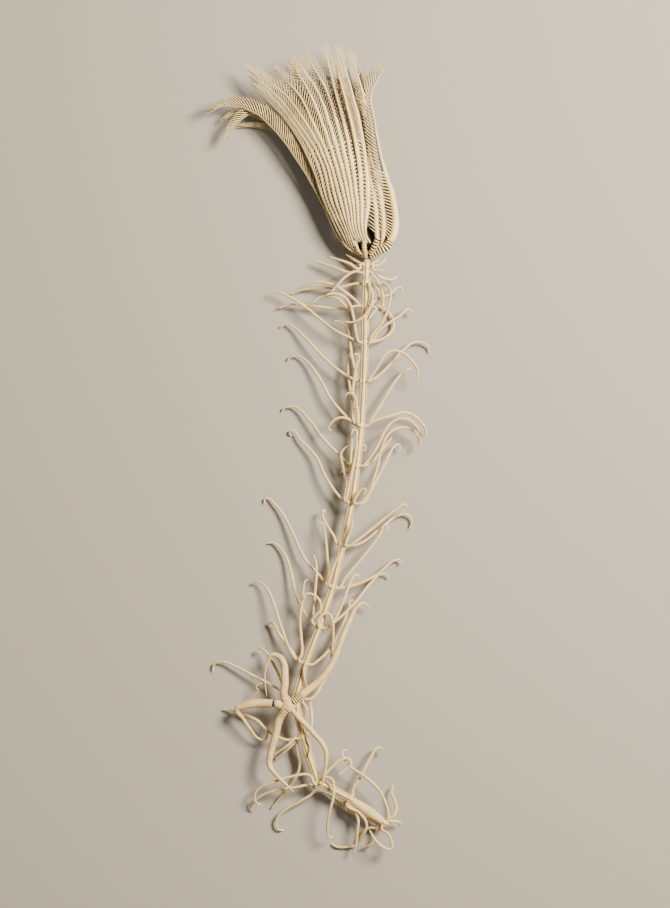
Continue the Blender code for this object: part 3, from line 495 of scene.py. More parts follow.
def calcite(name, clean, worn, joint_and_shade, stain, rough):
    """Porous calcite plates, macerated and dried: matt, ivory to tan, with brown tissue in the joints; the
    same brown also paints shade in furrows, on shaded sides, under arms and between them.
    """
    if name in bpy.data.materials:
        return bpy.data.materials[name]
    made = bpy.data.materials.new(name)
    made.use_nodes = True
    tree = made.node_tree
    shader = tree.nodes["Principled BSDF"]
    place = add(tree, "ShaderNodeTexCoord").outputs["Object"]
    joint_and_shade_mark = add(tree, "ShaderNodeAttribute", attribute_name="joint_and_shade_mark").outputs["Fac"]
    # Yellowing runs in patches about a centimetre across.
    patch = add(tree, "ShaderNodeTexNoise", {"Vector": place, "Scale": per_mm(11), "Detail": 4.0,
                                             "Roughness": 0.6})
    patchy = add(tree, "ShaderNodeMapRange", {"Value": patch.outputs["Fac"], "From Min": 0.38,
                                              "From Max": 0.72, "To Min": 0.0, "To Max": stain})
    base = add(tree, "ShaderNodeMix", {"Factor": patchy.outputs["Result"], "A": clean, "B": worn},
               data_type="RGBA")
    # The mesh of the stereom is some 0.03 mm across; drawn at 0.6 mm, the least that shows.
    pores = add(tree, "ShaderNodeTexNoise", {"Vector": place, "Scale": per_mm(0.6), "Detail": 3.0,
                                             "Roughness": 0.7})
    speck = add(tree, "ShaderNodeMapRange", {"Value": pores.outputs["Fac"], "From Min": 0.5,
                                             "From Max": 0.8, "To Min": 0.0, "To Max": 0.45})
    aged = add(tree, "ShaderNodeMix", {"Factor": speck.outputs["Result"], "A": base.outputs["Result"],
                                       "B": worn}, data_type="RGBA")
    # Painted shade: the mark browns the real joints and also furrows, shaded sides, undersides and dark
    # fillers that are meant to look shaded.
    joint_and_shade_weight = add(tree, "ShaderNodeMath", {0: joint_and_shade_mark, 1: 1.3}, operation="POWER")
    joint_and_shade_mixed = add(tree, "ShaderNodeMix", {"Factor": joint_and_shade_weight.outputs[0], "A": aged.outputs["Result"],
                                         "B": joint_and_shade}, data_type="RGBA")
    tree.links.new(joint_and_shade_mixed.outputs["Result"], shader.inputs["Base Color"])
    shader.inputs["Specular IOR Level"].default_value = 0.25
    sheen = add(tree, "ShaderNodeMapRange", {"Value": pores.outputs["Fac"], "From Min": 0.3, "From Max": 0.7,
                                             "To Min": rough - 0.06, "To Max": rough + 0.1})
    tree.links.new(sheen.outputs["Result"], shader.inputs["Roughness"])
    bump = add(tree, "ShaderNodeBump", {"Height": pores.outputs["Fac"], "Strength": 0.5,
                                        "Distance": 0.12 * MM})
    tree.links.new(bump.outputs["Normal"], shader.inputs["Normal"])
    return made


def finish_for(part):
    """The finish of the stalk, the arms or the star."""
    tint = bpy.context.scene.sea_lily_colours
    clean, worn, name, stain, rough = {
        "stalk": (tint.ivory, tint.worn, "macerated porous calcite", 0.75, 0.58),
        "arm": (tint.arm, tint.arm_worn, "macerated arm calcite", 0.7, 0.55),
        "star": (tint.star, tint.star_worn, "air-dried brittle star skin", 0.8, 0.5),
    }[part]
    return calcite(name, clean, worn, tint.joint_and_shade, stain, rough)


# ---- routes ------------------------------------------------------------------------------------------
def through(first, middle, last, t):
    """A smooth value that starts at first, passes middle half way and ends at last."""
    return first * (1 - t) * (1 - 2 * t) + 4 * middle * t * (1 - t) + last * t * (2 * t - 1)


def pairs(numbers):
    """x, y, x, y and so on, as points."""
    return [Vector(pair) for pair in zip(numbers[::2], numbers[1::2])]


def heading(line, j):
    """Which way a row of points runs at one of them."""
    return (line[min(j + 1, len(line) - 1)] - line[max(j - 1, 0)]).normalized()


def shares(flat):
    """How far along a row of points each of them is, from 0 to 1."""
    walked = [0.0]
    for a, b in zip(flat, flat[1:]):
        walked.append(walked[-1] + (b - a).length)
    return [w / walked[-1] for w in walked]


def stem_z(y):
    share = min(max((BEND_Y - y) / (BEND_Y - WHORLS[-1][1]), 0), 1)
    return STEM_Z + (ROOT_Z - STEM_Z) * share


def stem_spots():
    return [Vector((x, y, stem_z(y))) for x, y, _ in WHORLS]


def stem_ways(spots):
    """Nodal i has ways[i] above it and ways[i + 1] below it, both towards the root."""
    ways = [(b - a).normalized() for a, b in zip(spots, spots[1:])]
    return [ways[0]] + ways + [ways[-1]]


def nodal_reach(spots, i, nodal):
    """How far a nodal reaches up and down the stem: the crowded ones by the crown meet half way, and the
    first meets the cup."""
    reach = []
    for j in (i - 1, i + 1):
        if j < 0:
            reach.append(NECK)
        elif j < len(spots) and (spots[i] - spots[j]).length < CROWDED:
            reach.append((spots[i] - spots[j]).length / 2)
        else:
            reach.append(nodal / 2 + GAP / 2)
    return reach


def closest(spot, a, b):
    share = (spot - a).dot(b - a) / (b - a).length_squared
    return a.lerp(b, min(max(share, 0), 1))


def clear_stem(spot, radius, spots, stem):
    """Moves a point of a cirrus straight out from the stem's axis where it would run into the stem."""
    nearest = min((closest(spot, a, b) for a, b in zip(spots, spots[1:])),
                  key=lambda p: (p - spot).length)
    out = spot - nearest
    least = stem + radius + CIRRUS_CLEAR
    if out.length < least:
        spot += out.normalized() * (least - out.length)


def cirrus_route(spot, square, cirrus, spots, size):
    """Centre line and radii of a cirrus, from inside its nodal to the tip of its claw."""
    middle, tip, *numbers = cirrus
    offsets = pairs(numbers)
    radii = (size.cirrus_root / MM, size.cirrus_middle / MM, size.cirrus_tip / MM)
    stem = (size.stem_radius + size.stem_swell) / MM
    out = offsets[0].to_3d()
    out -= square * out.dot(square)
    out.z += (middle - spot.z) * 0.8
    out.normalize()
    sprout = spot + out * (size.nodal_radius / MM + 1.5)
    flat = [sprout.xy] + [spot.xy + offset for offset in offsets]
    route = [spot + out * (size.nodal_radius / MM - 1.2)]
    widths = [radii[0] * 1.15]
    for p, share in zip(flat, shares(flat)):
        radius = through(*radii, share)
        at = Vector((p.x, p.y, through(sprout.z, middle, tip, share)))
        clear_stem(at, radius, spots, stem)
        at.z = max(at.z, radius * 1.02)
        route.append(at)
        widths.append(radius)
    return route, widths


def arm_lines():
    """Centre line of every arm: 15 across the front from left to right, 2 behind from right to left,
    then the 3 lower curled arms at the left. All have the same number of points."""
    lines = []
    for k, crossings in enumerate(FRONT_ARMS):
        line = []
        for (left, right, depth), x in zip(LEVELS, crossings):
            u = min(max((x - left[0]) / (right[0] - left[0]), 0), 1)
            height = CROWN_Z + CROWN_D * depth * math.sin(math.pi * u) ** 0.8
            line.append(Vector((x, left[1] + (right[1] - left[1]) * u, height)))
        if k == 0:
            line += [Vector((x, y, CURL_Z[0])) for x, y in CURL_ARMS[0]]
        else:
            tip = Vector(crossings[-1])
            near = line[-1].xy.lerp(tip, 0.55)
            line.append(Vector((near.x, near.y, line[-1].z * 0.95)))
            line.append(Vector((tip.x, tip.y, line[-2].z * 0.85)))
            for spot, drop in zip(line, SUNK.get(k, (0,) * 7)):
                spot.z -= drop
        lines.append(line)
    for share, drop in BACK_ARMS:
        line = []
        for left, right, depth in LEVELS:
            spot = Vector(left).lerp(Vector(right), share)
            line.append(Vector((spot.x, spot.y, max(CROWN_Z - CROWN_D * depth * drop * 1.12, FLOOR_CLEAR))))
        last = line[-1]
        for rise in (14, 27):
            line.append(Vector((last.x + (share - 0.75) * rise, last.y + rise, FLOOR_CLEAR + rise * 0.06)))
        lines.append(line)
    low, wide = LEVELS[0][0], LEVELS[1][0]
    for n in (3, 2, 1):
        drop = n * 4.4
        line = [Vector((low[0] + n * 0.8, low[1], CROWN_Z - drop * 0.75)),
                Vector((wide[0] + n * 0.7, wide[1], CROWN_Z - drop))]
        line += [Vector((x, y, CURL_Z[n])) for x, y in CURL_ARMS[n]]
        lines.append(line)
    for members, end in RAYS:
        centre = Vector((CUP.x + end[0], CUP.y + end[1], end[2]))
        side = (lines[members[-1]][0] - lines[members[0]][0]).normalized()
        for i, k in enumerate(members):
            lines[k].insert(0, centre + side * (i - (len(members) - 1) / 2) * 1.9)
    return lines


STOUT = 14               # the stout arm down the right side
BROAD_FROM = 11          # arms from this one on are broad, and their pinnules show on the left
# How much the backs of the stout arm and of the other near ones are turned up, at each point.
STOUT_UP = (1.6, 1.6, 1.2, 0.15, 0, 0, 0, 0)
FRONT_UP = (0, 0, 0, 0, 0.1, 0.4, 0.8, 1.0)


def backs(k, line):
    """The tilt at each point of an arm that turns its back outwards from the crown's axis."""
    curled = k == 0 or k >= len(FRONT_ARMS) + len(BACK_ARMS)
    turn_up = STOUT_UP if k == STOUT else FRONT_UP if 0 < k < STOUT else None
    axis = [CUP] + [Vector(left).lerp(Vector(right), 0.5).to_3d() + Vector((0, 0, CROWN_Z))
                    for left, right, _ in LEVELS]
    axis += [axis[-1] + (axis[-1] - axis[-2])] * 2
    outs = []
    for j, spot in enumerate(line):
        ahead = heading(line, j)
        out = outs[-1] if curled and j > 2 else spot - axis[j]
        if turn_up:
            out = out.normalized() + Vector((0, 0, turn_up[j]))
        if spot.z <= FLOOR_CLEAR:
            out = Vector((0, 0, -1))
        outs.append((out - ahead * out.dot(ahead)).normalized())
    return back_tilts(line, outs)


def back_tilts(line, outs):
    """The tilts of a guide that turn what is strung on it to face the ways given."""
    tilts = []
    for j, out in enumerate(outs):
        ahead = heading(line, j)
        up = Vector((0, 0, 1))
        up = (up - ahead * up.dot(ahead)).normalized()
        tilt = math.atan2(out.dot(ahead.cross(up)), out.dot(up))
        if tilts:
            tilt += round((tilts[-1] - tilt) / math.tau) * math.tau
        tilts.append(tilt)
    return tilts


# ---- stem and cirri ----------------------------------------------------------------------------------
def five_lobed(x, y):
    """A ring with five blunt ridges and a furrow between them."""
    rise = 1.05 - 0.2 * max(0.0, -lobe(x, y)) ** 2
    return x * rise, y * rise


def lobe(x, y):
    """1 on a ridge of the five-lobed ring, -1 in a furrow. The broadest face looks up and to the right."""
    return math.cos(5 * (math.atan2(y, x) - math.radians(72)))


def shade_in_furrows(made):
    """Paints shade into a five-lobed plate: brown gathers in the furrows and fades on the ridges, and the
    joints are browner on the left side, away from the light.
    """
    for vert, mark in zip(made.data.vertices, made.data.attributes["joint_and_shade_mark"].data):
        ridge = lobe(vert.co.x, vert.co.y)
        # Painted shade: the left side, away from the light, keeps the joints' full brown; the lit side keeps
        # under half of it.
        side = 1.0 if vert.co.x < -0.3 * vert.co.xy.length else 0.45
        mark.value = min(mark.value * side * (0.75 - 0.2 * ridge) + 0.95 * max(0.0, -ridge), 1.0)


def toothed(made, sides, plate_height, depth):
    """Moves every other point of a plate's end rings, so that plates meet in a fine zigzag."""
    for vert in made.data.vertices:
        if min(abs(vert.co.z), abs(vert.co.z - plate_height)) < 0.01 * MM:
            turn = round(math.atan2(vert.co.y, vert.co.x) / math.tau * sides)
            vert.co.z += depth if turn % 2 else -depth


class SEALILY_OT_whorls(bpy.types.Operator):
    """Model the nodals and their whorls of beaded, clawed cirri"""
    bl_idname = "sealily.whorls"
    bl_label = "Nodals and cirri"

    def execute(self, context):
        size = context.scene.sea_lily_sizes
        finish = finish_for("stalk")
        spots = stem_spots()
        ways = stem_ways(spots)
        bead = size.cirral / MM
        cirral = turned("cirral", 8, ((0, 0.92, 1), (bead * 0.24, 1.0, 0.3), (bead * 0.4, 1.0, 0),
                                      (bead * 0.86, 1.03, 0), (bead, 0.92, 1)))
        claw = turned("claw", 8, ((0, 0.88, 0.9), (bead * 0.2, 1.0, 0), (bead * 0.8, 0.85, 0),
                                  (bead * 1.4, 0.5, 0), (bead * 2.0, 0.12, 0)), tip=True)
        nodal = turned("nodal", 20, ((0, 0.88, 0.8), (0.3, 0.94, 0.2), (1.2, 0.98, 0), (2.2, 1.02, 0),
                                     (3.2, 0.98, 0), (4.1, 0.94, 0.2), (4.4, 0.88, 0.8)), shape=five_lobed)
        shade_in_furrows(nodal)
        wide = size.nodal_radius / MM
        for i, spot in enumerate(spots):
            up, down = nodal_reach(spots, i, size.nodal / MM)
            widths = (wide * 0.62, wide * 0.86, wide) if i == 0 else (wide, wide, wide)
            parts = [laid(nodal, (spot - ways[i] * up, spot, spot + ways[i + 1] * down), widths, 1.0, 1)]
            square = (ways[i] + ways[i + 1]).normalized()
            for cirrus in WHORLS[i][2]:
                route, widths = cirrus_route(spot, square, cirrus, spots, size)
                parts.append(laid(cirral, route, widths, size.cirral,
                                  lambda run: round(run / size.cirral - 1.6), cap=claw))
            piece = join(f"cirrus_whorl_{i + 1:02d}", parts)
            close_ends(piece)
            dress(piece, f"whorl_{i + 1:02d}", finish)
        remove(cirral, claw, nodal)
        return {"FINISHED"}


LAST_SWELL = 3.5         # how many times as much as the others the last stem section swells


class SEALILY_OT_stem(bpy.types.Operator):
    """Model the stem between the nodals as stacks of thin five-lobed plates"""
    bl_idname = "sealily.stem"
    bl_label = "Stem"

    def execute(self, context):
        size = context.scene.sea_lily_sizes
        finish = finish_for("stalk")
        spots = stem_spots()
        ways = stem_ways(spots)
        tall = size.columnal / MM
        sides = 20
        plate = turned("columnal", sides, ((0, 0.93, 1), (tall * 0.2, 1.0, 0.15), (tall * 0.8, 1.0, 0.15),
                                           (tall, 0.93, 1)), shape=five_lobed)
        toothed(plate, sides, size.columnal, 0.07 * MM)
        shade_in_furrows(plate)
        ringed = turned("last columnal", sides, ((0, 0.93, 1), (tall * 0.26, 0.99, 0.4),
                                                 (tall * 0.4, 1.0, 0.05), (tall * 0.9, 1.0, 0.05),
                                                 (tall, 0.93, 1)))
        for i in range(len(spots) - 1):
            if (spots[i + 1] - spots[i]).length <= CROWDED:
                continue
            last = i == len(spots) - 2
            start = spots[i] + ways[i + 1] * nodal_reach(spots, i, size.nodal / MM)[1]
            end = spots[i + 1] - ways[i + 1] * nodal_reach(spots, i + 1, size.nodal / MM)[0]
            stout = size.stem_radius / MM
            swell = size.stem_swell / MM * (LAST_SWELL if last else 1)
            plates = round((end - start).length * MM / size.columnal)
            made = laid(ringed if last else plate, (start, (start + end) / 2, end),
                        (stout, stout + swell, stout), size.columnal, plates)
            piece = join(f"stem_plates_{i + 1:02d}", [made])
            close_ends(piece)
            dress(piece, f"stem_{i + 1:02d}", finish)
        remove(plate, ringed)
        return {"FINISHED"}


# ---- crown -------------------------------------------------------------------------------------------
def rounded_back(x, y):
    """A ring that is round outside, on +Y, and nearly flat inside."""
    return x, max(y, -0.5) * 1.05


class SEALILY_OT_cup(bpy.types.Operator):
    """Model the cup and the five rays that the arms grow from"""
    bl_idname = "sealily.cup"
    bl_label = "Cup and rays"

    def execute(self, context):
        size = context.scene.sea_lily_sizes
        top = CUP + Vector((0, size.cup_height / MM, 1.2))
        low, rim = size.cup_base / MM, size.cup_rim / MM
        cup = turned("cup", 20, ((0, low * 0.85, 1), (0.5, low, 0.2), (2.2, low * 1.05, 0), (2.6, low, 0.9),
                                 (3.0, low * 1.12, 0.1), (4.6, rim * 0.85, 0), (6.0, rim * 0.8, 0.3),
                                 (6.5, rim * 0.6, 1)), tip=True, shape=five_lobed)
        parts = [laid(cup, (CUP, CUP.lerp(top, 0.5), top), (1, 1, 1), 1.0, 1)]
        remove(cup)
        tall = size.ray_plate / MM
        plate = turned("ray plate", 12, ((0, 0.86, 1), (tall * 0.16, 0.98, 0.5), (tall * 0.3, 1.0, 0),
                                         (tall * 0.8, 1.03, 0), (tall * 0.92, 1.0, 0.5), (tall, 0.86, 1)),
                       shape=rounded_back)
        # Painted shade: each ladder plate is browned over its narrow neck, nearly half its length, as shade
        # in the gaps between rungs; only its ends are joints.
        rung = turned("ladder plate", 12, ((0, 0.86, 1), (tall * 0.44, 0.86, 1), (tall * 0.52, 1.0, 0.1),
                                           (tall * 0.92, 1.02, 0), (tall, 0.88, 1)), shape=rounded_back)
        for n, (spots, widths, faces) in enumerate(RAY_PATHS):
            points = [CUP + Vector(spot) for spot in spots]
            parts.append(laid(rung if n in LADDERS else plate, points, widths, size.ray_plate,
                              lambda run: round(run / size.ray_plate),
                              back_tilts(points, [Vector(faces)] * len(points))))
        remove(plate, rung)
        # The leathery disc that the arms close over is browned all over, as painted shade for the dark
        # between their feet.
        bpy.ops.mesh.primitive_uv_sphere_add(segments=20, ring_count=12, radius=MM)
        tegmen_painted_shade = bpy.context.object
        tegmen_painted_shade.scale = (15.5, 9.5, 6.5)
        tegmen_painted_shade.location = (CUP + Vector((0.5, 15.5, 0.0))) * MM
        bpy.ops.object.transform_apply(location=True, rotation=True, scale=True)
        for mark in tegmen_painted_shade.data.attributes.new("joint_and_shade_mark", "FLOAT", "POINT").data:
            mark.value = 1.0
        parts.append(tegmen_painted_shade)
        piece = join("cup_and_rays", parts)
        close_ends(piece)
        dress(piece, "calyx", finish_for("arm"))
        return {"FINISHED"}


# The plated bands of the cup, as offsets from the middle of its base, with their half widths and the way
# their backs face: the two left rays and the middle one, the ribbed one round the right and the ladder
# that forks from it, the two of the underside, and the three narrow feet of the leftmost arms.
RAY_PATHS = (
    (((-1.5, 2.2, 3.6), (-5.5, 4.6, 4.6), (-8.6, 8.6, 4.8)), (1.2, 1.4, 1.3), (-0.6, 0, 1)),
    (((-4.0, 4.0, 1.0), (-9.5, 7.0, 1.4), (-13.5, 10.5, 2.4)), (1.0, 1.3, 1.3), (-1, 0, 0.5)),
    (((-0.6, 1.8, 4.0), (-1.7, 6.5, 7.6), (-2.0, 13.5, 9.8)), (1.5, 1.9, 1.7), (0, 0, 1)),
    (((2.2, 0.8, 2.2), (9.6, 4.8, 4.0), (15.4, 8.0, 4.2), (19.0, 13.6, 2.6)), (2.0, 3.3, 3.5, 3.1),
     (0.3, -0.3, 1)),
    (((2.4, 2.2, 4.6), (5.6, 7.6, 8.2), (9.0, 15.5, 9.8)), (1.5, 2.3, 2.2), (0, 0, 1)),
    (((2.0, 3.0, -2.6), (3.6, 6.0, -6.0), (4.5, 9.5, -9.6)), (1.8, 2.2, 2.2), (0, -0.4, -1)),
    (((-2.0, 3.0, -2.0), (-5.6, 5.6, -4.6), (-8.0, 9.0, -6.4)), (1.8, 2.2, 2.2), (-0.6, 0, -1)),
    (((-2.6, 1.0, 0.6), (-8.5, 3.9, 0.8), (-15.4, 8.8, 1.2), (-19.2, 13.6, 2.0)), (0.7, 0.9, 0.9, 0.8),
     (-1, -0.4, 0.6)),
    (((-3.2, 2.4, 2.4), (-10.1, 7.4, 3.2), (-15.0, 13.2, 3.8)), (0.8, 0.95, 0.9), (-0.8, -0.2, 1)),
    (((-2.2, 2.6, 4.2), (-6.2, 5.2, 5.4), (-8.0, 9.4, 6.4), (-10.4, 15.0, 6.8)), (0.8, 1.15, 1.2, 1.1),
     (-0.3, 0, 1)),
)
LADDERS = (3, 4)         # the bands with wide gaps between their plates, the gaps browned as painted shade


def pinnule(path, thick, painted_shade=0.0):
    """One pinnule along a path. Its x and y are shares of the spread that the guide it is strung on gives.
    Its last argument browns the whole rod but its root and tip, as painted shade.
    """
    rod = turned("pinnule", 5, ((0, 1.0, 0.75), (1.6, 1.05, painted_shade), (6.5, 0.95, painted_shade), (9.2, 0.7, painted_shade),
                                (10.0, 0.2, 0.4)), tip=True, base=True)
    widths = [thick] + [thick * 0.95] * (len(path) - 2) + [thick * 0.6]
    made = laid(rod, path, widths, 1.0, 1, twist="MINIMUM")
    remove(rod)
    return made


def mirrored(template):
    """The same pinnule for the other side of an arm."""
    made = copied(template)
    made.data.transform(Matrix.Scale(-1, 4, (1, 0, 0)))
    made.data.flip_normals()
    return made


def row(template, rail, step, first, last):
    """A row of pinnules along an arm, from one distance along it to another, in mm."""
    moved = shifted(template, first * MM)
    made = strung(moved, rail, step * MM, int((last - first) / step) + 1, stretch=False)
    remove(moved)
    return made


def laid_shade_lining(template, points, widths, tilts):
    """A brown sheet of painted shade under an arm's back, closed at both ends."""
    made = laid(template, points, widths, SHADE_LINING_STEP * MM, lambda run: int(run / MM / SHADE_LINING_STEP), tilts,
                stretch=False)
    close_ends(made)
    return made


# Paths of the pinnules: x and y as shares of the spread, z in mm along the arm.
SHORT = ((0.3, 0.08, 0), (0.62, 0.02, 1.0), (0.95, -0.12, 2.2), (1.08, -0.6, 3.6), (0.95, -1.5, 5.0))
LONG = ((0.12, 0.04, 0), (0.5, 0.03, 2.2), (0.88, -0.02, 4.4), (1.08, -0.16, 6.0), (1.15, -0.5, 7.6))
UNDER = ((0.3, 0.0, 0), (0.52, -0.45, 1.2), (0.5, -1.1, 3.0), (0.35, -1.8, 5.0))
SIDE = ((0.04, 0.0, 0), (0.12, -0.38, 3.8), (0.17, -0.78, 7.6), (0.14, -1.0, 10.4))
TIP = ((0.12, 0.1, 0), (0.55, 0.06, 1.8), (1.0, 0.0, 3.8), (1.3, -0.12, 5.6))
# Kinds of pinnules: path, half thickness as a share of the spread, and how much painted shade browns them;
# those under and deep in the crown are browned all over.
RODS = {"short": (SHORT, 0.15), "long": (LONG, 0.066), "under": (UNDER, 0.2, 1.0), "side": (SIDE, 0.05),
        "low": (SIDE, 0.066, 1.0), "tip": (TIP, 0.075), "deep": (LONG, 0.07, 1.0)}
# Most half width of an arm's back at each of its points: near and far arms, the broad ones, the stout one
# and those seen from the side.
BACK_MOST = (1.0, 1.15, 1.7, 1.9, 1.35, 0.95, 0.55, 0.25)
BROAD_MOST = (1.8, 2.3, 2.2, 2.0, 1.5, 1.0, 0.55, 0.25)
STOUT_MOST = (1.6, 3.2, 2.9, 1.9, 1.3, 0.95, 0.65, 0.32)
SLIM_MOST = (0.8, 0.8, 0.8, 0.85, 0.8, 0.72, 0.55, 0.32)
BACK_LEAST = 0.24        # and the least, mm
STOUT_ROOM = 9.0         # how much room the stout arm is taken to have, mm
# The spread of the short pinnules and of the painted shade sheet on the stout arm's inner side, at each
# point.
STOUT_SHORT = (3, 5.4, 6.4, 6.2, 5, 4, 3, 2)
STOUT_SHADE_LINING = (2.6, 4.6, 5.4, 1.0)
SHADE_LINING_STEP = 3.2
FINE_STEP = 2.6          # spacing of the thin pinnules at the tips, and of the stout arm's short ones
STIR_SEED = 7            # noise starts from the clock without one, so no two runs would be the same
# Arms seen from the side and how far their pinnules reach inward at each point.
COMBS = {
    0: (0.8, 1.5, 3.0, 7.5, 10.0, 9.5, 6.5, 3.0),
    STOUT: (2.0, 6.5, 9.5, 9.6, 8.6, 8.0, 7.5, 4.0),
    17: (0.8, 1.5, 2.5, 4.5, 6.0, 6.5, 5.5, 2.5),
    18: (0.8, 1.5, 2.5, 6.0, 8.0, 7.0, 5.0, 2.5),
    19: (0.8, 1.5, 2.5, 6.5, 9.0, 8.5, 7.0, 3.0),
}


def side_on(k, line, tilts, run, first, rods, shade_lining):
    """The pinnules of an arm that is seen from the side: long combs on its inner side, the lower comb browned
    all over as painted shade; the stout arm also gets short ones and a brown sheet of painted shade under its
    foot.
    """
    stout = k == STOUT
    upper, lower, pitch, late = ("side", "low_right", 2.9, 28) if stout else ("side_right", "low", 2.4, 0)
    rail = guide(line, COMBS[k], tilts)
    parts = [row(rods[upper], rail, pitch, first + late, run - 8),
             row(rods[lower], rail, pitch, first + pitch / 2, run - 8)]
    remove(rail)
    if stout:
        rail = guide(line, STOUT_SHORT, tilts)
        parts.append(row(rods["short"], rail, FINE_STEP, 9, 66))
        remove(rail)
        parts.append(laid_shade_lining(shade_lining, line[:4], STOUT_SHADE_LINING, tilts))
    return parts


def back_on(k, line, tilts, run, first, rods, shade_lining, gaps, near, step):
    """The pinnules of an arm whose back is seen: rows on both sides, thin ones spread at its tip, and ones
    under it and deep on its hidden side browned all over as painted shade, with a brown sheet of painted
    shade under its foot. gaps are to the arm on the shown side and near to the nearest arm, at each point."""
    shown, hidden = ("", "_right") if k >= BROAD_FROM else ("_right", "")
    spread = [min(max(d * 0.8, 1.3), 2.6 if j < 2 else 6.0) for j, d in enumerate(gaps)]
    spread[6:] = [4.6, 3.4]
    rows = [("short" + shown, step, first, run * 0.5), ("long" + shown, step, run * 0.5 - 2.2, run - 20),
            ("tip" + shown, FINE_STEP, run - 18, run - 4), ("tip" + hidden, FINE_STEP, run - 22, run - 4)]
    if k > 4:
        rows.append(("deep" + hidden, step, run * 0.6, run - 18))
    rail = guide(line, spread, tilts)
    parts = [row(rods[key], rail, *span) for key, *span in rows]
    remove(rail)
    rail = guide(line, [min(max(d * 0.5, 1.2), 3.2) for d in gaps], tilts)
    parts.append(row(rods["under" + hidden], rail, 2.0, first, run - 30))
    remove(rail)
    widths = [min(max(d * 0.52, 0.9), 2.2) for d in near]
    parts.append(laid_shade_lining(shade_lining, line[:4 if k > 8 else 5], widths, tilts))
    return parts


class SEALILY_OT_arms(bpy.types.Operator):
    """Model the feathered arms of the crown"""
    bl_idname = "sealily.arms"
    bl_label = "Arms"

    def execute(self, context):
        size = context.scene.sea_lily_sizes
        finish = finish_for("arm")
        step = size.brachial / MM
        plate = turned("brachial", 8, ((0, 0.95, 0.42), (step * 0.18, 1.0, 0.02), (step * 0.84, 1.03, 0),
                                       (step, 0.95, 0.42)), shape=rounded_back)
        # Painted shade: the inner side and lower flanks of each arm plate, away from its rounded back, are
        # browned as if shaded.
        for vert, mark in zip(plate.data.vertices, plate.data.attributes["joint_and_shade_mark"].data):
            if vert.co.y < 0.2 * MM:
                mark.value = 0.8
        end = turned("arm tip", 8, ((0, 0.95, 0.4), (step, 0.7, 0), (step * 3, 0.2, 0)), tip=True,
                     shape=rounded_back)
        # Painted shade: a sheet browned all over, laid under the feet of the arms so that the gaps between
        # them look shaded.
        shade_lining = turned("painted shade sheet", 6, ((0, 0.96, 1), (SHADE_LINING_STEP / 2, 1.0, 1), (SHADE_LINING_STEP, 0.96, 1)),
                        shape=sunken)
        rods = {key: pinnule(*values) for key, values in RODS.items()}
        for key in RODS:
            rods[key + "_right"] = mirrored(rods[key])
        dice = random.Random(7)
        lines = arm_lines()
        for k, line in enumerate(lines):
            tilts = backs(k, line)
            before, after = ([clearance(line, lines[(k + way) % len(lines)], j) for j in range(8)]
                             for way in (-1, 1))
            near = [min(pair) for pair in zip(before, after)]
            broad = k >= BROAD_FROM
            most = (STOUT_MOST if k == STOUT else SLIM_MOST if k in COMBS
                    else BROAD_MOST if broad else BACK_MOST)
            widths = [max(min(0.46 * (STOUT_ROOM if k == STOUT else d), m), BACK_LEAST)
                      for d, m in zip(near, most)]
            back = guide(line, widths, tilts)
            run = run_of(back) / MM
            parts = [strung(plate, back, size.brachial, int((run - 2) / step), cap=end, stretch=False)]
            # How much of the arm's foot is bare of pinnules.
            first = (22 if 0 < k < 5 else 12 if k <= STOUT else 8) + dice.uniform(0, 2)
            if k in COMBS:
                parts += side_on(k, line, tilts, run, first, rods, shade_lining)
            else:
                parts += back_on(k, line, tilts, run, first, rods, shade_lining, before if broad else after, near,
                                 size.pinnule_step / MM)
            remove(back)
            close_ends(parts[0])
            piece = join(f"feathered_arm_{k + 1:02d}", parts)
            stirred(piece, 0.3, 7.0)
            dress(piece, f"arm_{k + 1:02d}", finish)
        remove(plate, end, shade_lining, *rods.values())
        return {"FINISHED"}


def clearance(line, other, j):
    """How far the next arm is at a point, square to this one."""
    ahead = heading(line, j)
    gap = other[j] - line[j]
    return (gap - ahead * gap.dot(ahead)).length


def sunken(x, y):
    """A ring that lies wholly under an arm's back."""
    return x, y * 0.3 - 0.85


def stirred(piece, amount, patch):
    """Pushes the points of a piece about a little, so that no two of its plates are quite alike."""
    noise.seed_set(STIR_SEED)
    for vert in piece.data.vertices:
        vert.co += noise.noise_vector(vert.co * per_mm(patch)) * amount * MM


# ---- brittle star ------------------------------------------------------------------------------------
class SEALILY_OT_star_disc(bpy.types.Operator):
    """Model the brittle star's disc with its rings of scales"""
    bl_idname = "sealily.star_disc"
    bl_label = "Brittle star disc"

    def execute(self, context):
        size = context.scene.sea_lily_sizes
        wide = size.star_disc / MM
        tall = size.star_height / MM / 2
        rings = [(-tall * 0.98, wide * 0.2, 0), (-tall * 0.8, wide * 0.62, 0), (-tall * 0.35, wide * 0.94, 0),
                 (0.0, wide, 0)]
        for reach in (0.86, 0.64, 0.42, 0.2):
            height = tall * math.sqrt(1 - reach ** 2)
            rings += [(height - 0.22, wide * (reach + 0.03), 0.2), (height - 0.12, wide * reach, 1),
                      (height + 0.02, wide * (reach - 0.03), 0)]
        rings.append((tall, wide * 0.06, 0))
        disc = turned("disc", 20, rings, base=True, shape=five_lobed)
        disc.data.transform(Matrix.Translation(STAR * MM))
        piece = join("star_disc_scales", [disc])
        dress(piece, "brittle_star_disc", finish_for("star"))
        return {"FINISHED"}


# How much of each arm's root is bold rings, or on the third a knob, and the tendril by the first arm's tail.
ROOTS = (0, 9.5, 8.8, 7.6, 0)
BOLD_STEP = 1.9
STAR_CURL = ((-41.8, -186.0, 13.2), (-45.2, -185.6, 13.6), (-48.2, -186.6, 13.4), (-49.6, -189.2, 12.8),
             (-47.6, -191.4, 12.2), (-50.6, -194.2, 11.6), (-52.2, -198.4, 11.0))


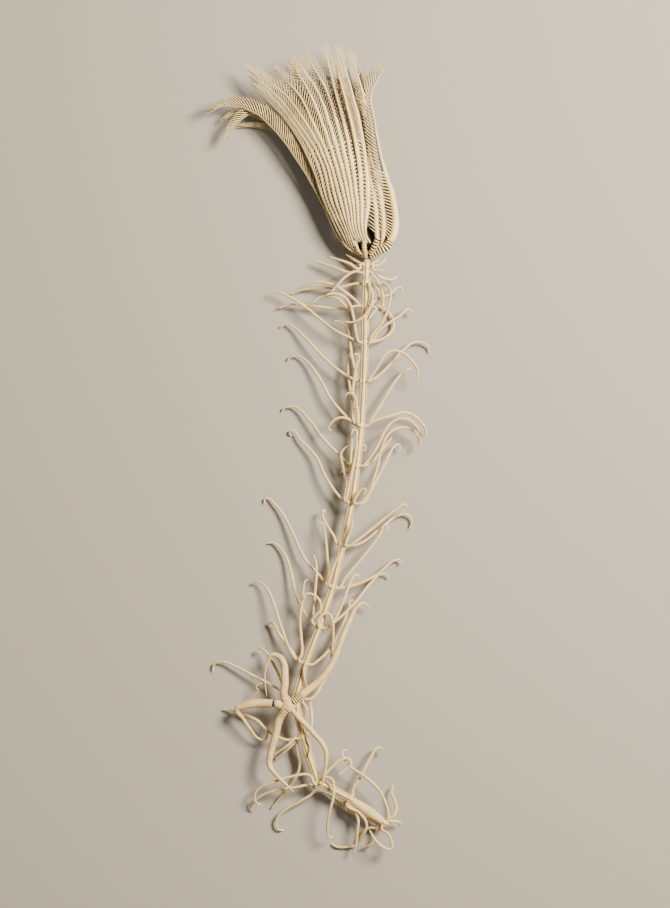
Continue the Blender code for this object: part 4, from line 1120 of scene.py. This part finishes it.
class SEALILY_OT_star_arms(bpy.types.Operator):
    """Model the brittle star's ringed arms"""
    bl_idname = "sealily.star_arms"
    bl_label = "Brittle star arms"

    def execute(self, context):
        size = context.scene.sea_lily_sizes
        finish = finish_for("star")
        tall = size.star_plate / MM
        ring = turned("arm ring", 12, ((0, 0.96, 0.6), (tall * 0.22, 0.99, 0.15), (tall * 0.8, 1.02, 0),
                                       (tall, 0.96, 0.6)))
        bold = turned("root ring", 12, ((0, 0.8, 1), (0.5, 0.86, 0.9), (0.75, 1.02, 0.05),
                                        (1.5, 1.02, 0.05), (BOLD_STEP, 0.8, 1)))
        knob = turned("root knob", 14, ((0, 0.6, 1), (0.6, 0.92, 0.4), (2.2, 1.1, 0), (4.6, 1.12, 0),
                                        (6.4, 1.0, 0.1), (7.2, 0.7, 1), (8.4, 0.62, 1), (8.8, 0.9, 0.6)))
        end = turned("arm end", 12, ((0, 0.96, 0.5), (tall, 0.6, 0), (tall * 2, 0.2, 0)), tip=True)
        for n, (middle, tip, *numbers) in enumerate(STAR_ARMS):
            flat = [STAR.xy] + [STAR.xy + offset for offset in pairs(numbers)]
            widths = [STAR_GIRTH[n][0], *STAR_GIRTH[n]]
            route = [Vector((p.x, p.y, max(through(STAR.z, middle, tip, share), radius * 1.02)))
                     for p, share, radius in zip(flat, shares(flat), widths)]
            route[0] = STAR + (route[1] - STAR).normalized() * (size.star_disc / MM * 0.75)
            line = guide(route, widths)
            root = ROOTS[n]
            parts = []
            if root:
                bands = 1 if n == 2 else round(root / BOLD_STEP)
                parts.append(strung(knob if n == 2 else bold, line, BOLD_STEP * MM, bands, stretch=False))
            moved = [shifted(ring, root * MM), shifted(end, root * MM)]
            rings = int((run_of(line) - root * MM) / size.star_plate) - 1
            parts.append(strung(moved[0], line, size.star_plate, rings, cap=moved[1], stretch=False))
            remove(line, *moved)
            if n == 0:
                parts.append(laid(ring, STAR_CURL, [0.45] * len(STAR_CURL), size.star_plate, 9))
            piece = join(f"star_arm_rings_{n + 1}", parts)
            close_ends(piece)
            dress(piece, f"brittle_star_arm_{n + 1}", finish)
        remove(ring, bold, knob, end)
        return {"FINISHED"}


# ---- stage -------------------------------------------------------------------------------------------
CAMERA_XY = (13.2, -3.2)          # the middle of the view, mm
VIEW_HEIGHT = 726.4               # how much of the floor the long side of the view takes in, mm
CAMERA_UP = 2400.0                # camera height, mm


def lamp(name, spot, size, power, warmth):
    """A square soft box that faces the middle of the specimen."""
    light = bpy.data.lights.new(name, "AREA")
    light.size = size
    light.energy = power
    light.color = warmth
    holder = bpy.data.objects.new(name, light)
    holder.location = spot
    holder.rotation_euler = (Vector((0.01, 0, 0)) - Vector(spot)).to_track_quat("-Z", "Y").to_euler()
    bpy.context.scene.collection.objects.link(holder)


class SEALILY_OT_stage(bpy.types.Operator):
    """Lay out the floor, the soft studio lights and the camera"""
    bl_idname = "sealily.stage"
    bl_label = "Stage"

    def execute(self, context):
        scene = context.scene
        tint = scene.sea_lily_colours
        deselect()
        bpy.ops.mesh.primitive_plane_add(size=6.0, location=(0, 0, 0))
        ground = bpy.context.object
        ground.name = "floor"
        paint = bpy.data.materials.new("matt painted board")
        paint.use_nodes = True
        tree = paint.node_tree
        shader = tree.nodes["Principled BSDF"]
        place = add(tree, "ShaderNodeTexCoord").outputs["Object"]
        tooth = add(tree, "ShaderNodeTexNoise", {"Vector": place, "Scale": per_mm(1.5), "Detail": 3.0})
        bump = add(tree, "ShaderNodeBump", {"Height": tooth.outputs["Fac"], "Strength": 0.1,
                                            "Distance": 0.1 * MM})
        tree.links.new(bump.outputs["Normal"], shader.inputs["Normal"])
        shader.inputs["Base Color"].default_value = tint.floor
        shader.inputs["Roughness"].default_value = 0.9
        ground.data.materials.append(paint)
        lamp("key", (0.95, 0.62, 1.3), 0.55, 106, (1.0, 0.93, 0.8))
        lamp("fill", (-1.2, -0.6, 1.5), 1.4, 5, (0.97, 0.98, 1.0))
        world = bpy.data.worlds.new("studio")
        world.use_nodes = True
        sky = world.node_tree.nodes["Background"].inputs
        sky["Color"].default_value = (1, 1, 1, 1)
        sky["Strength"].default_value = 0.15
        scene.world = world
        eye = bpy.data.cameras.new("camera")
        eye.sensor_width = 36.0
        eye.lens = eye.sensor_width * CAMERA_UP / VIEW_HEIGHT
        eye.clip_end = 20.0
        holder = bpy.data.objects.new("camera", eye)
        holder.location = (CAMERA_XY[0] * MM, CAMERA_XY[1] * MM, CAMERA_UP * MM)
        scene.collection.objects.link(holder)
        scene.camera = holder
        return {"FINISHED"}


# ---- add-on ------------------------------------------------------------------------------------------
STEPS = (SEALILY_OT_whorls, SEALILY_OT_stem, SEALILY_OT_cup, SEALILY_OT_arms, SEALILY_OT_star_disc,
         SEALILY_OT_star_arms, SEALILY_OT_stage)


class SEALILY_PT_panel(bpy.types.Panel):
    """Steps, sizes and colours of the sea lily"""
    bl_idname = "SEALILY_PT_panel"
    bl_label = "Sea lily"
    bl_space_type = "VIEW_3D"
    bl_region_type = "UI"
    bl_category = "Sea lily"

    def draw(self, context):
        layout = self.layout
        for step in STEPS:
            layout.operator(step.bl_idname)
        for group in (context.scene.sea_lily_sizes, context.scene.sea_lily_colours):
            box = layout.box()
            for key in group.__annotations__:
                box.prop(group, key)


CLASSES = (SeaLilySizes, SeaLilyColours, *STEPS, SEALILY_PT_panel)


def register():
    for item in CLASSES:
        bpy.utils.register_class(item)
    bpy.types.Scene.sea_lily_sizes = bpy.props.PointerProperty(type=SeaLilySizes)
    bpy.types.Scene.sea_lily_colours = bpy.props.PointerProperty(type=SeaLilyColours)


def unregister():
    del bpy.types.Scene.sea_lily_colours
    del bpy.types.Scene.sea_lily_sizes
    for item in reversed(CLASSES):
        bpy.utils.unregister_class(item)


def main():
    register()
    bpy.ops.sealily.whorls()
    bpy.ops.sealily.stem()
    bpy.ops.sealily.cup()
    bpy.ops.sealily.arms()
    bpy.ops.sealily.star_disc()
    bpy.ops.sealily.star_arms()
    bpy.ops.sealily.stage()


if __name__ == "__main__":
    main()
